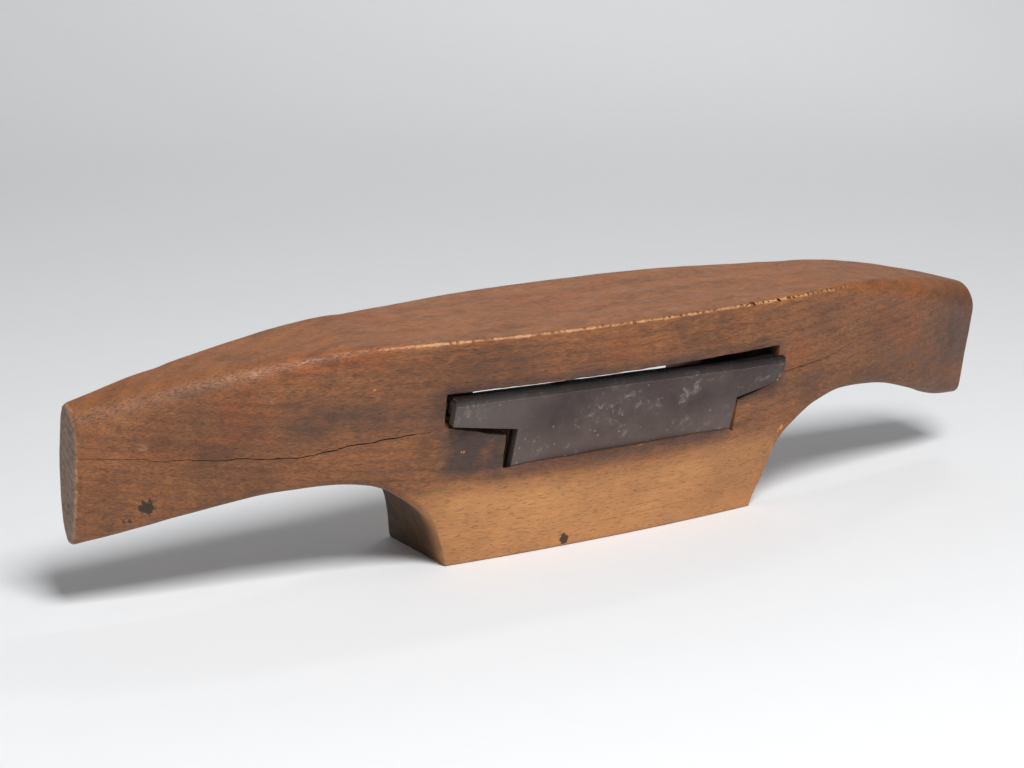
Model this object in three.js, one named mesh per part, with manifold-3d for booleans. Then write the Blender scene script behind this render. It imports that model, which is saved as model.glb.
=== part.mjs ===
// Two-handled wooden hand plane with a double iron held by a wedge.
// It stands on its heel with the sole facing -Y and the toe upwards, the length along X.
// Units are millimetres, +Z is up, and the origin is the centre of the heel's rest face.
import * as THREE from 'three';
import { mergeVertices } from 'three/addons/utils/BufferGeometryUtils.js';
import { ConvexGeometry } from 'three/addons/geometries/ConvexGeometry.js';
import Module from 'manifold-3d';

const wasm = await Module();
wasm.setup();

const degrees = THREE.MathUtils.degToRad;

// ---------------------------------------------------------------------------------------------
// Driving dimensions
// The stock is drawn square, in its own axes: x along the length, v in from the sole towards the
// back, w from the heel up to the toe. Standing on its heel, it leans forward by STOCK_LEAN.
// ---------------------------------------------------------------------------------------------
const STOCK_LEAN = degrees(10.2);     // the heel is sawn this far off square
const HALF_LENGTH = 203;              // a 16 inch stock
const STOCK_DEPTH = 50;               // sole to back, at the middle
const TOE_HEIGHT = 87.4;              // heel corner to toe face
const SOLE_RADIUS = 853;              // the sole is a slow arc along its length
const BACK_RADIUS = 584;              // so is the back, as far as the shoulders
const SHOULDER = 100;                 // where the body turns into the handles
const HANDLE_SWEEP = 0.00027;         // extra backward sweep of the handles, per mm squared
const END_ROUND = 1.4;                // the arris round each handle's end face

const IRON_TILT = degrees(6);         // the irons lean out of the sole this far
const IRON_SKEW = degrees(1.05);      // and sit slightly askew in their mouth
const IRON_DEPTH = 1.8;               // depth of the cutter's face below the middle of the sole
const IRON_FOOT = 37;                 // height w where the stem goes under the wood
const IRON_THICK = 3;
const FIT_GAP = 0.3;                  // gap between pieces that touch
const HEAD_HALF = 74.7;               // half of the iron's wide head
const STEM_HALF = 50.2;
const STEM_OFFSET = 3.6;              // the stem is not quite under the middle of the head
const EDGE_S = 28.3;                  // cutting edge, measured up the iron from IRON_FOOT
const EAR_AT_STEM = 14.5;             // height of the head beside the stem
const EAR_AT_TIP = 10;                // and at its tips
const STEM_END_S = -24;               // the buried end of the stem
const BEVEL_WIDTH = 2.2;
const BEVEL_DEPTH = 1.1;

const CAP_SETBACK = 0.8;              // the cap iron stops this far short of the edge
const CAP_INSET = 1.2;                // and is this much narrower at each side
const CAP_STEM_END_S = -21;

const SCREW_S = -9;                   // the cap screws, measured down the stem
const SCREW_SPACING = 56;
const SCREW_RADIUS = 2.5;
const SCREW_HEAD_RADIUS = 5;
const SCREW_HEAD_THICK = 2.4;
const TURNING_CLEARANCE = 0.09;       // radial, between a screw and its hole
const CAP_SLOT_UP = 3;                // the cap iron's slots reach this far above the screws
const CAP_SLOT_DOWN = 0.8;            // and this far below

const WEDGE_ANGLE = degrees(8);
const WEDGE_END_S = -22;              // thin end
const WEDGE_TOP_S = 20;               // thick end
const WEDGE_THIN = 4.5;
const WEDGE_SIDE_GAP = 1.2;
const WEDGE_TOP_SLOPE = 5;            // the head falls this much towards the back

// The mouth's wide upper part drops from its ends to the shoulders beside the stem.
const MOUTH = { left: -75.4, right: 74.2, top: 67, leftEndLow: 55.4, rightEndLow: 52.6, depth: 9 };
const SHOULDER_ROOM = 1.9;            // room under the head's shoulders for setting the iron back
const SHOULDER_SLANT = 0.6;           // the left shoulder is this much higher, the right lower
// Its lower edge is the lip the stem goes under, which drops towards both ends.
const LIP = { middle: 36.6, half: 38, left: 33, right: 30.4 };
const MORTISE = { left: -50.2, right: 55.4 };
const POCKET_END_S = -28;
const ABUTMENT_TOP_S = 6;
const ESCAPEMENT = { floor: 38, roof: 80 };
// The cheeks gather the wide mouth into the narrower escapement.
const CHEEKS = { mouthLow: 57, low: 48, high: 71, depth: 26 };

// ---------------------------------------------------------------------------------------------
// Outline of the stock
// ---------------------------------------------------------------------------------------------

// A smooth curve through points whose first numbers rise, with no overshoot between them.
function curveThrough(points) {
  const slopes = points.slice(1).map(([x, y], i) => (y - points[i][1]) / (x - points[i][0]));
  const tangents = points.map((_, i) => {
    const before = slopes[Math.max(i - 1, 0)];
    const after = slopes[Math.min(i, slopes.length - 1)];
    return before * after <= 0 ? 0 : (2 * before * after) / (before + after);
  });
  return (x) => {
    let i = points.findIndex(([px]) => px > x) - 1;
    if (i === -2) i = points.length - 2;
    if (i < 0) i = 0;
    const [x0, y0] = points[i];
    const [x1, y1] = points[i + 1];
    const span = x1 - x0;
    const t = THREE.MathUtils.clamp((x - x0) / span, 0, 1);
    const rise = (2 * t ** 3 - 3 * t ** 2 + 1) * y0 + (3 * t ** 2 - 2 * t ** 3) * y1;
    const lean = (t ** 3 - 2 * t ** 2 + t) * tangents[i] + (t ** 3 - t ** 2) * tangents[i + 1];
    return rise + lean * span;
  };
}

// The underside, from the foot outwards: up the side of the foot, over the arch, along the grip.
// It was cut by hand, and the right arch is the higher one.
const undersideLeft = curveThrough([
  [68.4, -12], [70.3, 0], [74, 11.5], [78, 18.7], [88, 27.6], [101, 34.4],
  [115, 36.2], [134, 35.3], [160, 30.7], [185, 24.3], [203, 20],
]);
const undersideRight = curveThrough([
  [68.4, -12], [70.8, 0], [74.8, 9.9], [80.2, 22.4], [88, 30.6], [101, 38.2],
  [116, 41.4], [129, 40.3], [142, 38], [160, 32.6], [185, 23.4], [203, 20],
]);

function soleAt(x) {
  const past = Math.max(0, Math.abs(x) - SHOULDER);
  return x ** 2 / (2 * SOLE_RADIUS) + HANDLE_SWEEP * past ** 2;
}

function backAt(x) {
  const reach = Math.min(Math.abs(x), SHOULDER);
  return STOCK_DEPTH - reach ** 2 / (2 * BACK_RADIUS);
}

function toeAt(x) {
  const handleStart = 105;
  const drop = 19;
  const along = Math.max(0, Math.abs(x) - handleStart) / (HALF_LENGTH - handleStart);
  return TOE_HEIGHT - drop * along ** 1.5;
}

function undersideAt(x) {
  return x < 0 ? undersideLeft(-x) : undersideRight(x);
}

// One closed ring of the stock at a station x. Its four corners are rounded by quarter ellipses
// that grow from a worn arris on the body to the oval of the handles.
function stockRing(x, inset = 0) {
  const grip = THREE.MathUtils.smoothstep(Math.abs(x), 78, HALF_LENGTH);
  const grown = (body, end) => THREE.MathUtils.lerp(body, end, grip);
  const front = soleAt(x) + inset;
  const back = backAt(x) - inset;
  const low = undersideAt(x) + inset;
  const high = toeAt(x) - inset;
  const corners = [
    { v: front, w: low, rv: grown(2, 4), rw: grown(2, 5), turn: 180 },
    { v: back, w: low, rv: grown(3, 10.5), rw: grown(2, 30), turn: 270 },
    { v: back, w: high, rv: grown(3, 4), rw: grown(3, 5), turn: 0 },
    { v: front, w: high, rv: grown(2, 10.5), rw: grown(2, 11), turn: 90 },
  ];
  const pointsPerCorner = 3;
  const ring = [];
  for (const { v, w, rv, rw, turn } of corners) {
    const inV = v === front ? 1 : -1;
    const inW = w === low ? 1 : -1;
    for (let i = 0; i < pointsPerCorner; i += 1) {
      const angle = degrees(turn + (90 * i) / (pointsPerCorner - 1));
      ring.push([v + inV * rv + rv * Math.cos(angle), w + inW * rw + rw * Math.sin(angle)]);
    }
  }
  return ring;
}

function stockStations() {
  const bands = [[0, 68.4, 3], [68.4, 78, 3], [78, 118, 5], [118, 198, 4], [198, 201.6, 1]];
  const right = bands.flatMap(([from, to, steps]) =>
    Array.from({ length: steps }, (_, i) => from + ((to - from) * (i + 1)) / steps));
  return [...right.map((x) => -x).reverse(), 0, ...right];
}

// Joins rings of equal size into one closed skin with a flat cap at each end.
function loft(rings) {
  const size = rings[0].length;
  const positions = rings.flatMap((ring) => ring.flatMap(([x, v, w]) => [x, v, w]));
  const faces = [];
  for (let r = 0; r < rings.length - 1; r += 1) {
    for (let i = 0; i < size; i += 1) {
      const a = r * size + i;
      const b = r * size + ((i + 1) % size);
      faces.push(a, b, a + size, b, b + size, a + size);
    }
  }
  const last = (rings.length - 1) * size;
  for (let i = 1; i < size - 1; i += 1) {
    faces.push(0, i + 1, i);
    faces.push(last, last + i, last + i + 1);
  }
  const geometry = new THREE.BufferGeometry();
  geometry.setAttribute('position', new THREE.Float32BufferAttribute(positions, 3));
  geometry.setIndex(faces);
  return geometry;
}

// ---------------------------------------------------------------------------------------------
// Joins and cuts
// ---------------------------------------------------------------------------------------------
function toSolid(geometry) {
  const bare = geometry.clone();
  bare.deleteAttribute('normal');
  bare.deleteAttribute('uv');
  const merged = mergeVertices(bare, 1e-4);
  return new wasm.Manifold(new wasm.Mesh({
    numProp: 3,
    vertProperties: new Float32Array(merged.attributes.position.array),
    triVerts: new Uint32Array(merged.index.array),
  }));
}

function toGeometry(solid) {
  const mesh = solid.getMesh();
  const geometry = new THREE.BufferGeometry();
  geometry.setAttribute('position', new THREE.Float32BufferAttribute(mesh.vertProperties, 3));
  geometry.setIndex(Array.from(mesh.triVerts));
  geometry.computeVertexNormals();
  return geometry;
}

// A flat outline of [x, height] points, pushed through from depth "from" to depth "to".
// The result has x along the length, y along the depth and z up.
function plate(outline, from, to) {
  const shape = new THREE.Shape(outline.map(([x, z]) => new THREE.Vector2(x, z)));
  const geometry = new THREE.ExtrudeGeometry(shape, { depth: to - from, bevelEnabled: false });
  geometry.rotateX(Math.PI / 2);
  geometry.translate(0, to, 0);
  return geometry;
}

// A section of [depth, height] points, pushed along the length from x = "from" to x = "to".
function prism(section, from, to) {
  const shape = new THREE.Shape(section.map(([y, z]) => new THREE.Vector2(y, z)));
  const geometry = new THREE.ExtrudeGeometry(shape, { depth: to - from, bevelEnabled: false });
  geometry.rotateX(Math.PI / 2);
  geometry.rotateZ(Math.PI / 2);
  geometry.translate(from, 0, 0);
  return geometry;
}

// A round pin or hole that runs along the depth, centred on [x, z].
function roundBar(radius, from, to, x, z) {
  const bar = new THREE.CylinderGeometry(radius, radius, to - from, 32);
  bar.translate(x, (from + to) / 2, z);
  return bar;
}

// A point given in from the cutter's face (t) and up the iron (s), in the stock's v and w.
function ironPoint(t, s) {
  return [
    IRON_DEPTH + t * Math.cos(IRON_TILT) - s * Math.sin(IRON_TILT),
    IRON_FOOT + t * Math.sin(IRON_TILT) + s * Math.cos(IRON_TILT),
  ];
}

// ---------------------------------------------------------------------------------------------
// Stock: one piece of beech with the mouth, the throat and the pocket for the irons
// ---------------------------------------------------------------------------------------------
const CAP_FACE_T = IRON_THICK + FIT_GAP;
const WEDGE_FACE_T = CAP_FACE_T + IRON_THICK + FIT_GAP;

function wedgeBackAt(s) {
  return WEDGE_FACE_T + WEDGE_THIN + (s - WEDGE_END_S) * Math.tan(WEDGE_ANGLE);
}

function makeStock() {
  const middle = stockStations().map((x) => stockRing(x).map(([v, w]) => [x, v, w]));
  const endCap = (side) =>
    stockRing(side * HALF_LENGTH, END_ROUND).map(([v, w]) => [side * HALF_LENGTH, v, w]);
  const blank = toSolid(loft([endCap(-1), ...middle, endCap(1)]));

  const floorDepth = 40;
  const floor = new THREE.BoxGeometry(2.2 * HALF_LENGTH, 200, floorDepth);
  floor.translate(0, 0, -floorDepth / 2);
  floor.rotateX(-STOCK_LEAN);

  const junction = IRON_FOOT + EDGE_S - EAR_AT_STEM - SHOULDER_ROOM;
  const mouth = plate([
    [MOUTH.left, MOUTH.leftEndLow], [MORTISE.left, junction + SHOULDER_SLANT],
    [MORTISE.left, LIP.left], [-LIP.half, LIP.middle], [LIP.half, LIP.middle],
    [MORTISE.right, LIP.right], [MORTISE.right, junction - SHOULDER_SLANT],
    [MOUTH.right, MOUTH.rightEndLow], [MOUTH.right, MOUTH.top], [MOUTH.left, MOUTH.top],
  ], -10, MOUTH.depth);

  const pocket = prism([
    ironPoint(-FIT_GAP, 0),
    ironPoint(-FIT_GAP, POCKET_END_S),
    ironPoint(wedgeBackAt(POCKET_END_S) + FIT_GAP, POCKET_END_S),
    ironPoint(wedgeBackAt(ABUTMENT_TOP_S) + FIT_GAP, ABUTMENT_TOP_S),
    [STOCK_DEPTH + 5, ESCAPEMENT.floor],
    [STOCK_DEPTH + 5, ESCAPEMENT.roof],
    [MOUTH.depth, MOUTH.top],
    [MOUTH.depth - 3, IRON_FOOT + 1],
  ], MORTISE.left, MORTISE.right);

  const corners = (left, right, low, high, v) =>
    [[left, low], [right, low], [right, high], [left, high]]
      .map(([x, w]) => new THREE.Vector3(x, v, w));
  const cheeks = new ConvexGeometry([
    ...corners(MOUTH.left, MOUTH.right, CHEEKS.mouthLow, MOUTH.top, MOUTH.depth - 1),
    ...corners(MORTISE.left, MORTISE.right, CHEEKS.low, CHEEKS.high, CHEEKS.depth),
  ]);

  return toGeometry(
    blank
      .subtract(toSolid(floor))
      .subtract(toSolid(mouth))
      .subtract(toSolid(pocket))
      .subtract(toSolid(cheeks)),
  );
}

// ---------------------------------------------------------------------------------------------
// Irons: drawn flat, x along the edge, y in from the cutter's face, z up the iron
// ---------------------------------------------------------------------------------------------
const SCREW_XS = [STEM_OFFSET - SCREW_SPACING / 2, STEM_OFFSET + SCREW_SPACING / 2];

// The T of an iron, narrowed by "inset" at its sides and ending at "topS" and "endS".
function ironOutline(inset, topS, endS, earRise) {
  const stemLeft = STEM_OFFSET - STEM_HALF + inset;
  const stemRight = STEM_OFFSET + STEM_HALF - inset;
  const tip = HEAD_HALF - inset;
  const clipped = 2.5;
  const earAtStem = EDGE_S - EAR_AT_STEM + earRise;
  const earAtTip = EDGE_S - EAR_AT_TIP + earRise;
  return [
    [stemLeft, endS], [stemRight, endS], [stemRight, earAtStem],
    [tip - clipped, earAtTip], [tip, earAtTip + clipped],
    [tip, topS], [-tip, topS], [-tip, earAtTip], [stemLeft, earAtStem],
  ];
}

function makeCuttingIron() {
  const body = toSolid(plate(ironOutline(0, EDGE_S, STEM_END_S, 0), 0, IRON_THICK));
  const bevelled = toSolid(prism([
    [0, STEM_END_S - 1],
    [IRON_THICK, STEM_END_S - 1],
    [IRON_THICK, EDGE_S + 1],
    [BEVEL_DEPTH * (1 + 1 / BEVEL_WIDTH), EDGE_S + 1],
    [0, EDGE_S - BEVEL_WIDTH],
  ], -HEAD_HALF - 1, HEAD_HALF + 1));
  const holes = SCREW_XS.map((x) => toSolid(
    roundBar(SCREW_RADIUS + TURNING_CLEARANCE, -1, IRON_THICK + 1, x, SCREW_S)));
  return toGeometry(holes.reduce((iron, hole) => iron.subtract(hole), body.intersect(bevelled)));
}

function makeCapIron() {
  const top = EDGE_S - CAP_SETBACK;
  const earRise = 2.4;
  const outline = ironOutline(CAP_INSET, top, CAP_STEM_END_S, earRise);
  const body = toSolid(plate(outline, CAP_FACE_T, CAP_FACE_T + IRON_THICK));
  const bore = SCREW_RADIUS + TURNING_CLEARANCE;
  const slots = SCREW_XS.flatMap((x) => {
    const from = CAP_FACE_T - 1;
    const to = CAP_FACE_T + IRON_THICK + 1;
    const straight = plate([
      [x - bore, SCREW_S - CAP_SLOT_DOWN], [x + bore, SCREW_S - CAP_SLOT_DOWN],
      [x + bore, SCREW_S + CAP_SLOT_UP], [x - bore, SCREW_S + CAP_SLOT_UP],
    ], from, to);
    return [
      toSolid(roundBar(bore, from, to, x, SCREW_S - CAP_SLOT_DOWN)),
      toSolid(straight),
      toSolid(roundBar(bore, from, to, x, SCREW_S + CAP_SLOT_UP)),
    ];
  });
  return toGeometry(slots.reduce((iron, slot) => iron.subtract(slot), body));
}

// A slotted screw: the head lies against the cap iron, and the shank reaches into the cutter.
function makeCapScrew() {
  const crown = 0.5;
  const tip = 0.4;
  const profile = [
    [0, tip], [SCREW_RADIUS - 0.4, tip], [SCREW_RADIUS, tip + 0.4], [SCREW_RADIUS, WEDGE_FACE_T],
    [SCREW_HEAD_RADIUS, WEDGE_FACE_T],
    [SCREW_HEAD_RADIUS, WEDGE_FACE_T + SCREW_HEAD_THICK - crown],
    [SCREW_HEAD_RADIUS - 1, WEDGE_FACE_T + SCREW_HEAD_THICK],
    [0, WEDGE_FACE_T + SCREW_HEAD_THICK],
  ].map(([r, y]) => new THREE.Vector2(r, y));
  const turned = toSolid(new THREE.LatheGeometry(profile, 32));
  const slotWidth = 1.2;
  const slotDepth = 1;
  const slot = new THREE.BoxGeometry(slotWidth, 2 * slotDepth, 3 * SCREW_HEAD_RADIUS);
  slot.translate(0, WEDGE_FACE_T + SCREW_HEAD_THICK, 0);
  return toGeometry(turned.subtract(toSolid(slot)));
}

// The wedge drives down behind the stem, and straddles the screw heads.
function makeWedge() {
  const left = STEM_OFFSET - STEM_HALF + WEDGE_SIDE_GAP;
  const right = STEM_OFFSET + STEM_HALF - WEDGE_SIDE_GAP;
  const body = toSolid(prism([
    [WEDGE_FACE_T, WEDGE_END_S],
    [wedgeBackAt(WEDGE_END_S), WEDGE_END_S],
    [wedgeBackAt(WEDGE_TOP_S - WEDGE_TOP_SLOPE), WEDGE_TOP_S - WEDGE_TOP_SLOPE],
    [WEDGE_FACE_T + 2, WEDGE_TOP_S],
    [WEDGE_FACE_T, WEDGE_TOP_S],
  ], left, right));
  const grooveHalf = SCREW_HEAD_RADIUS + 1.2;
  const grooveTop = SCREW_S + SCREW_HEAD_RADIUS + 2.5;
  const grooveDepth = WEDGE_FACE_T + SCREW_HEAD_THICK + 0.8;
  const grooves = SCREW_XS.map((x) => toSolid(plate([
    [x - grooveHalf, WEDGE_END_S - 1], [x + grooveHalf, WEDGE_END_S - 1],
    [x + grooveHalf, grooveTop], [x - grooveHalf, grooveTop],
  ], WEDGE_FACE_T - 1, grooveDepth)));
  return toGeometry(grooves.reduce((wedge, groove) => wedge.subtract(groove), body));
}

// ---------------------------------------------------------------------------------------------
// Finishes and assembly
// ---------------------------------------------------------------------------------------------
const beech = () => new THREE.MeshStandardMaterial({ color: 0x8c5a36, roughness: 0.55, metalness: 0 });
const wedgeBeech = () => new THREE.MeshStandardMaterial({ color: 0xa3713f, roughness: 0.6, metalness: 0 });
const patinaIron = () => new THREE.MeshStandardMaterial({ color: 0x3d3636, roughness: 0.5, metalness: 0.7 });

function named(name, geometry, material) {
  const mesh = new THREE.Mesh(geometry, material);
  mesh.name = name;
  return mesh;
}

const irons = new THREE.Group();
irons.position.set(0, IRON_DEPTH, IRON_FOOT);
irons.rotation.set(IRON_TILT, IRON_SKEW, 0);
irons.add(named('cutting_iron', makeCuttingIron(), patinaIron()));
irons.add(named('cap_iron', makeCapIron(), patinaIron()));
irons.add(named('wedge', makeWedge(), wedgeBeech()));
['cap_screw_left', 'cap_screw_right'].forEach((name, i) => {
  const screw = named(name, makeCapScrew(), patinaIron());
  screw.position.set(SCREW_XS[i], 0, SCREW_S);
  irons.add(screw);
});

// The rest face runs from the sole to the back along the heel, so its middle is half of that.
const HEEL_LENGTH = STOCK_DEPTH / Math.cos(STOCK_LEAN);
const leaned = new THREE.Group();
leaned.rotation.x = STOCK_LEAN;
leaned.position.y = -HEEL_LENGTH / 2;
leaned.add(named('stock', makeStock(), beech()));
leaned.add(irons);

const handPlane = new THREE.Group();
handPlane.name = 'hand_plane';
handPlane.add(leaned);

export default handPlane;
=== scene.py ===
# %% [markdown]
# # An old two-handled wooden plane
# A beech stock with a handle shaped at each end, a wide T-shaped cutting iron with a cap iron
# behind it, two cap screws and a wedge. The stock stands on its sawn heel, the sole towards us.
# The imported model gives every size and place; this lesson dresses it, one piece at a time.
# %% Load the frame
import math

import bmesh
import bpy
import numpy as np
from mathutils import Matrix, Vector, noise


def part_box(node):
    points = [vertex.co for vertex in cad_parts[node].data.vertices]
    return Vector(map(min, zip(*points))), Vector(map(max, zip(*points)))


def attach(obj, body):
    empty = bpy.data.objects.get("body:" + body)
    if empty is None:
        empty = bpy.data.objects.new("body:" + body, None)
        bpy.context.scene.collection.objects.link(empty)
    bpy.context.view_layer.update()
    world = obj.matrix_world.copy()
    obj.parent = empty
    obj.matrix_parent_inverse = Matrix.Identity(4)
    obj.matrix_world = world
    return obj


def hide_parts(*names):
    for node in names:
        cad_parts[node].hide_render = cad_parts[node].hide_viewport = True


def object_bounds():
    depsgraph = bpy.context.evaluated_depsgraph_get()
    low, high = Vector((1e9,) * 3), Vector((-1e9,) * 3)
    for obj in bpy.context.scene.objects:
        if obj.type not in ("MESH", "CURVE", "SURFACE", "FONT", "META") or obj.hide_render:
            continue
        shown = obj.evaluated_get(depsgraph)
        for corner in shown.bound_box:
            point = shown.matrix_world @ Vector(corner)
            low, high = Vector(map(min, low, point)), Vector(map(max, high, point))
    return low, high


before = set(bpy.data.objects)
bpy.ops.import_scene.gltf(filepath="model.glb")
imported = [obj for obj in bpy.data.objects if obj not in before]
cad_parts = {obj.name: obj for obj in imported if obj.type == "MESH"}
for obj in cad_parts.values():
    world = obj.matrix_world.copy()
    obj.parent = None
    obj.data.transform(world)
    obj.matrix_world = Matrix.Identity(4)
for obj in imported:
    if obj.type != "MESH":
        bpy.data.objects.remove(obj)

cad_low, cad_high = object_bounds()
MM = 0.001
print("CAD box, mm:", [round(side / MM, 1) for side in cad_high - cad_low])

# %% [markdown]
# ## The camera
# It looks at the plane from a little to the left of the sole and from slightly above. A long lens
# keeps the far handle from shrinking too much. The aim is a small shift off the box's centre.
# %% Camera
CAMERA_AZIMUTH = math.radians(-32.81)
CAMERA_ELEVATION = math.radians(13.40)
CAMERA_DISTANCE = 0.800
AIM_LEFT = 0.0267
AIM_UP = 0.0086


def look_from(azimuth, elevation):
    """The unit vector from the object towards a viewer at that azimuth and elevation."""
    level = math.cos(elevation)
    return Vector((math.sin(azimuth) * level, -math.cos(azimuth) * level, math.sin(elevation)))


towards_camera = look_from(CAMERA_AZIMUTH, CAMERA_ELEVATION)
camera = bpy.data.objects.new("camera", bpy.data.cameras.new("camera"))
bpy.context.scene.collection.objects.link(camera)
bpy.context.scene.camera = camera
camera.rotation_euler = (math.pi / 2 - CAMERA_ELEVATION, 0, CAMERA_AZIMUTH)
camera.data.lens = 73.9
camera.data.sensor_width = 36
turned = camera.rotation_euler.to_matrix()
aim = (cad_low + cad_high) / 2 + turned @ Vector((-AIM_LEFT, AIM_UP, 0))
camera.location = aim + towards_camera * CAMERA_DISTANCE
bpy.context.scene.view_settings.view_transform = "Standard"
print("camera at", [round(value, 4) for value in camera.location])

# %% [markdown]
# ## The floor, the backdrop and the light
# One pale sweep of card is floor and backdrop together, so there is no line behind the plane.
# A large soft light in front and above makes the broad shadow behind it, a second one washes the
# right of the backdrop, and a weak even sky fills the rest, as white studio walls would.
# %% Sweep
FLOOR_FRONT = -3.0
SWEEP_START = 1.1
SWEEP_RADIUS = 1.3
SWEEP_TOP = 4.0
SWEEP_HALF_WIDTH = 5.0


def plain_mesh(name, points, faces):
    """A new mesh object made of points and faces, linked into the scene."""
    mesh = bpy.data.meshes.new(name)
    mesh.from_pydata(points, [], faces)
    mesh.update()
    made = bpy.data.objects.new(name, mesh)
    bpy.context.scene.collection.objects.link(made)
    return made


def sweep_line():
    """The (y, z) line of the card: flat floor, a quarter turn, then straight up."""
    turn = [math.radians(angle) for angle in range(0, 91, 3)]
    bend = [
        (SWEEP_START + SWEEP_RADIUS * math.sin(a), SWEEP_RADIUS * (1 - math.cos(a))) for a in turn
    ]
    return [(FLOOR_FRONT, 0), *bend, (bend[-1][0], SWEEP_TOP)]


line = sweep_line()
card_points = [(side * SWEEP_HALF_WIDTH, y, z) for y, z in line for side in (-1, 1)]
card_faces = [(2 * i, 2 * i + 1, 2 * i + 3, 2 * i + 2) for i in range(len(line) - 1)]
studio_card = plain_mesh("studio_card", card_points, card_faces)
studio_card.data.shade_smooth()
print("sweep of", len(card_faces), "strips")

# %% Lights
KEY_DIRECTION = look_from(math.radians(-12), math.radians(52))
KEY_DISTANCE = 1.5
WASH_PLACE = Vector((1.5, 1.0, 1.9))
WASH_AIM = Vector((1.4, 2.4, 0.7))
SKY_STRENGTH = 0.18


def soft_light(name, place, aim, size, watts):
    """A square area light at that place, turned to face the aim."""
    lamp = bpy.data.lights.new(name, "AREA")
    lamp.size = size
    lamp.energy = watts
    holder = bpy.data.objects.new(name, lamp)
    bpy.context.scene.collection.objects.link(holder)
    holder.location = place
    holder.rotation_euler = (place - aim).to_track_quat("Z", "Y").to_euler()


middle = (cad_low + cad_high) / 2
soft_light("key", middle + KEY_DIRECTION * KEY_DISTANCE, middle, 0.5, 24)
soft_light("backdrop wash", WASH_PLACE, WASH_AIM, 0.8, 19)
sky = bpy.data.worlds.new("studio walls")
sky.use_nodes = True
sky.node_tree.nodes["Background"].inputs["Color"].default_value = (0.98, 0.99, 1.0, 1)
sky.node_tree.nodes["Background"].inputs["Strength"].default_value = SKY_STRENGTH
bpy.context.scene.world = sky
print("lamps:", [lamp.name for lamp in bpy.data.lights])

# %% [markdown]
# ## The stock's own axes
# The stock was squared up before its heel was sawn 10 degrees off square, so it leans forward.
# Every saw and rasp line is simple in the stock's own axes: x along the length, v in from the
# sole, w up from the heel. One function turns those millimetres into the frame's metres, and
# another turns a finished mesh back, so that wear can be worked out where it belongs.
# %% From the stock's axes to the frame
STOCK_LEAN = math.radians(10.2)
STOCK_DEPTH = 50
HEEL_HALF = STOCK_DEPTH / math.cos(STOCK_LEAN) / 2
HALF_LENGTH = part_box("stock")[1].x / MM


def from_stock(x, v, w):
    """A point in the stock's axes, in mm, as a point of the frame, in metres."""
    y = v * math.cos(STOCK_LEAN) - w * math.sin(STOCK_LEAN) - HEEL_HALF
    z = w * math.cos(STOCK_LEAN) + v * math.sin(STOCK_LEAN)
    return Vector((x, y, z)) * MM


def to_stock(mesh):
    """Each vertex of a mesh in the stock's axes: arrays of x, v and w in mm."""
    flat = np.empty(len(mesh.vertices) * 3, np.float32)
    mesh.vertices.foreach_get("co", flat)
    x, y, z = flat.reshape(-1, 3).T.astype(float) / MM
    y = y + HEEL_HALF
    v = y * math.cos(STOCK_LEAN) + z * math.sin(STOCK_LEAN)
    w = z * math.cos(STOCK_LEAN) - y * math.sin(STOCK_LEAN)
    return x, v, w


print("half length of the stock, mm:", round(HALF_LENGTH, 1))

# %% [markdown]
# ## The stock's outline
# The maker bandsawed the outline and finished it with a spokeshave, so each face is a slow curve
# and the two arches don't quite match. Each curve here is a function of x. The underside goes
# through a few given points: up the side of the foot, over the arch, and out along the grip.
# %% Outline curves
SOLE_RADIUS = 853
BACK_RADIUS = 584
SHOULDER = 100
HANDLE_SWEEP = 0.00027
TOE_HEIGHT = 87.4
HANDLE_START = 105
HANDLE_DROP = 19
UNDERSIDE_LEFT = [
    (68.4, -12), (70.3, 0), (74, 11.5), (78, 18.7), (88, 27.6), (101, 34.4),
    (115, 36.2), (134, 35.3), (160, 30.7), (185, 24.3), (203, 20),
]
UNDERSIDE_RIGHT = [
    (68.4, -12), (70.8, 0), (74.8, 9.9), (80.2, 22.4), (88, 30.6), (101, 38.2),
    (116, 41.4), (129, 40.3), (142, 38), (160, 32.6), (185, 23.4), (203, 20),
]


def curve_through(points):
    """A smooth curve through points, with no overshoot between them."""
    slopes = [(b[1] - a[1]) / (b[0] - a[0]) for a, b in zip(points, points[1:])]
    pairs = zip([slopes[0], *slopes], [*slopes, slopes[-1]])
    tangents = [0 if a * b <= 0 else 2 * a * b / (a + b) for a, b in pairs]

    def height(x):
        i = max(0, min(sum(px <= x for px, _ in points) - 1, len(points) - 2))
        (x0, y0), (x1, y1) = points[i], points[i + 1]
        t = min(max((x - x0) / (x1 - x0), 0), 1)
        rise = (2 * t**3 - 3 * t**2 + 1) * y0 + (3 * t**2 - 2 * t**3) * y1
        lean = (t**3 - 2 * t**2 + t) * tangents[i] + (t**3 - t**2) * tangents[i + 1]
        return rise + lean * (x1 - x0)

    return height


underside_left = curve_through(UNDERSIDE_LEFT)
underside_right = curve_through(UNDERSIDE_RIGHT)


def sole_at(x):
    return x**2 / (2 * SOLE_RADIUS) + HANDLE_SWEEP * max(0, abs(x) - SHOULDER) ** 2


def back_at(x):
    return STOCK_DEPTH - min(abs(x), SHOULDER) ** 2 / (2 * BACK_RADIUS)


def toe_at(x):
    along = max(0, abs(x) - HANDLE_START) / (HALF_LENGTH - HANDLE_START)
    return TOE_HEIGHT - HANDLE_DROP * min(along, 1) ** 1.5


def underside_at(x):
    return underside_left(-x) if x < 0 else underside_right(x)


print("handle end is", round(toe_at(HALF_LENGTH) - underside_at(HALF_LENGTH), 1), "mm tall")

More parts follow.
